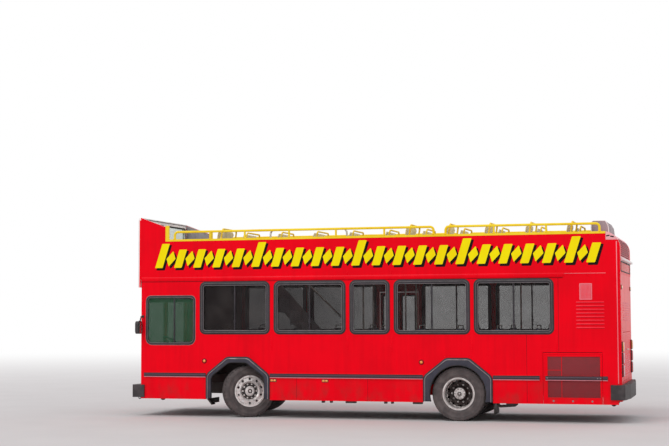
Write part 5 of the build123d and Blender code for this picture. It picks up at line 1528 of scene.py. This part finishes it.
def mirror_fittings():
    """The mirror glasses, their rims and the clamps on their arms."""
    low, high, band = (1.252, 1.632), (1.408, 1.858), 0.008
    glasses = plate(rectangle(low, high), 0, 4.6725, 4.6765, 0.04, 0, 0.001)
    finished(both_sides(glasses), "mirror_glasses", "mirror_glass")
    outline = rectangle((low[0] - band, low[1] - band), (high[0] + band, high[1] + band))
    parts = [
        plate(outline, 0, 4.668, 4.678, 0.045, 0.010, 0.002),
        block((4.640, 1.214, 1.938), (4.682, 1.240, 1.984), 0.004),
        block((4.674, 1.300, 1.850), (4.712, 1.336, 1.880), 0.004),
    ]
    finished(both_sides(joined(parts)), "mirror_rims", "bumper_black")


# The open deck's edges and the rear cap

def deck_edges():
    """The pale capping of the fins and the board, the screens' gaskets and the rail stands' feet."""
    top = [(4.7205, 3.9305), (4.190, 3.7355), (4.190, 3.724), (4.7205, 3.919)]
    caps = both_sides(plate(top, 1, inner_y - 0.002, side_y + 0.002, edge=0.001))
    finished(caps, "fin_caps", "board_paint")
    gaskets = []
    for face in ((4.7145, 4.7215), (board_x - 0.001, board_x + 0.006)):
        gaskets.append(plate(rectangle((0.030, 3.028), (1.142, 3.852)), 0, *face, 0.075, 0.026, 0.002))
    finished(both_sides(joined(gaskets)), "screen_gaskets", "seal_black")
    finished(block((4.7135, -1.16, 3.900), (4.7205, 1.16, 3.912), 0.002), "board_line", "seal_black")
    foot = turned([(0, 0), (0, 0.036), (0.003, 0.036), (0.006, 0.026), (0.006, 0)], 24)
    stands = [4.0, 3.25, 2.53, 1.62, 0.675, -0.28, -1.236, -1.466, -2.38, -3.35, -4.32]
    feet = repeated(foot, [(x, (inner_y + side_y) / 2, strip_top_z) for x in stands])
    finished(both_sides(feet), "rail_feet", "yellow_paint")
    for side, name in ((1, "left"), (-1, "right")):
        lip = block((-4.42, inner_y - 0.006, strip_top_z - 0.006),
                    (4.12, inner_y + 0.002, strip_top_z + 0.003), 0.002)
        finished(on_side(lip, side), "strip_lip_" + name, "yellow_paint")


def cap_arc(radius, angles):
    """Points on the rounded rear, from their angles over the level."""
    return [(cap_x + radius * cos(radians(angle)), cap_z + radius * sin(radians(angle))) for angle in angles]


def rear_cap():
    """The rounded upper rear with its corners, in the place of the plain one."""
    arc, inner_arc = cap_arc(cap_radius, range(90, 181, 6)), cap_arc(cap_inner_radius, range(180, 89, -9))
    section = [(-4.20, 3.485)] + arc + [(rear_x, crease_z), (-4.62, crease_z)] + inner_arc + [(-4.20, 3.435)]
    middle = plate(section, 1, 0.002 - inner_y, inner_y - 0.002)
    front, back, notch_z = -4.426, -4.621, 3.326
    outside = [(x, z) for x, z in arc if x < -4.43]
    corner = [(front, 3.4815)] + outside
    corner += [(rear_x, crease_z), (back, crease_z), (back, notch_z), (front, notch_z)]
    corners = both_sides(plate(corner, 1, inner_y - 0.004, side_y + 0.001, edge=0.010))
    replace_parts(finished(joined([middle, corners]), "rear_dome", "cap_paint"), "rear_cap")


def hood():
    """The grey hood at the rear of the deck, with pale edges and louvres in its front face."""
    half, front, top = 0.62, -4.105, 3.718
    outline = [(front, 3.484), (-4.440, 3.484), (-4.424, 3.63), (-4.374, top), (-4.14, top), (front, 3.69)]
    finished(plate(outline, 1, -half, half, edge=0.022), "hood", "hood_paint")
    line = [(-4.115, 3.50), (-4.118, 3.69), (-4.15, top - 0.003), (-4.37, top - 0.003), (-4.42, 3.63),
            (-4.437, 3.50)]
    trim = tube(bent([(x, half - 0.004, z) for x, z in line], 0.02), 0.007, sides=2)
    finished(both_sides(trim), "hood_edges", "board_paint")
    lips = louvres((-0.50, 0.50), [3.53, 3.57, 3.61], 0, 0.008, 0.022)
    moved(lips, Matrix.Translation((front, 0, 0)) @ Matrix.Rotation(radians(-90), 4, "Z"))
    finished(lips, "hood_louvres", "hood_paint")


def over_cap(piece, along):
    """Moves a piece made at the foot of the rounded rear up along it, or down below it."""
    if along < 0:
        return moved(piece, Matrix.Translation((0, 0, cap_z + along)))
    about = Matrix.Translation((cap_x, 0, cap_z))
    turn = Matrix.Rotation(along / cap_radius, 4, "Y")
    return moved(piece, about @ turn @ Matrix.Translation((-cap_x, 0, 0)))


def rear_cap_fittings():
    """The slats over the rounded top, the pale ledge, the dark pane under it and the slots at the corners."""
    skin, half, bars, gaps = cap_x - cap_radius, 0.98, [], []
    # Painted highlight: the slats are pale pink. Painted shade: dark strips in the slots between them.
    for step in range(9):
        along = -0.135 + step * 0.037
        bar = block((skin - 0.007, -half, -0.004), (skin + 0.002, half, 0.004), 0.0012)
        gap = block((skin - 0.0018, -half, -0.010), (skin + 0.002, half, 0.010), 0)
        bars.append(over_cap(bar, along + 0.012))
        gaps.append(over_cap(gap, along))
    finished(joined(bars), "cap_slats", "vent_paint")
    finished(joined(gaps), "cap_slot_shades", "seal_black")
    section = [(-4.740, 2.960), (rear_x + 0.002, 2.945), (rear_x + 0.002, 3.030), (-4.738, 2.985)]
    finished(plate(section, 1, -1.10, 1.10, edge=0.006), "rear_ledge", "board_paint")
    pane = block((rear_x - 0.004, -1.06, 2.770), (rear_x + 0.002, 1.06, 2.930), 0.003)
    finished(pane, "rear_pane", "glass")
    outline = rectangle((-1.075, 2.755), (1.075, 2.945))
    seal = plate(outline, 0, rear_x - 0.007, rear_x + 0.001, 0.02, 0.018, 0.002)
    finished(seal, "rear_pane_seal", "seal_black")
    # Painted shade: dark patches stand for the slots at the corners.
    slots_made = []
    for x, z, lean in ((-4.470, 3.402, 12), (-4.545, 3.385, -10)):
        slot = block((-0.032, side_y - 0.001, -0.012), (0.032, side_y + 0.0025, 0.012), 0.0006)
        slots_made.append(moved(slot, Matrix.Translation((x, 0, z)) @ Matrix.Rotation(radians(lean), 4, "Y")))
    finished(both_sides(joined(slots_made)), "corner_slot_shades", "seal_black")


# The whole scene

camera()
studio()
ornament()
side_mouldings()
window_frames()
door_leaves()
road_wheels()
lower_seats()
driver_seat()
upper_seats()
linings()
underside()
end_fittings()
side_vents()
radiator_fittings()
rail_edges()
arch_trims()
lamps()
mirror_fittings()
deck_edges()
rear_cap()
hood()
rear_cap_fittings()
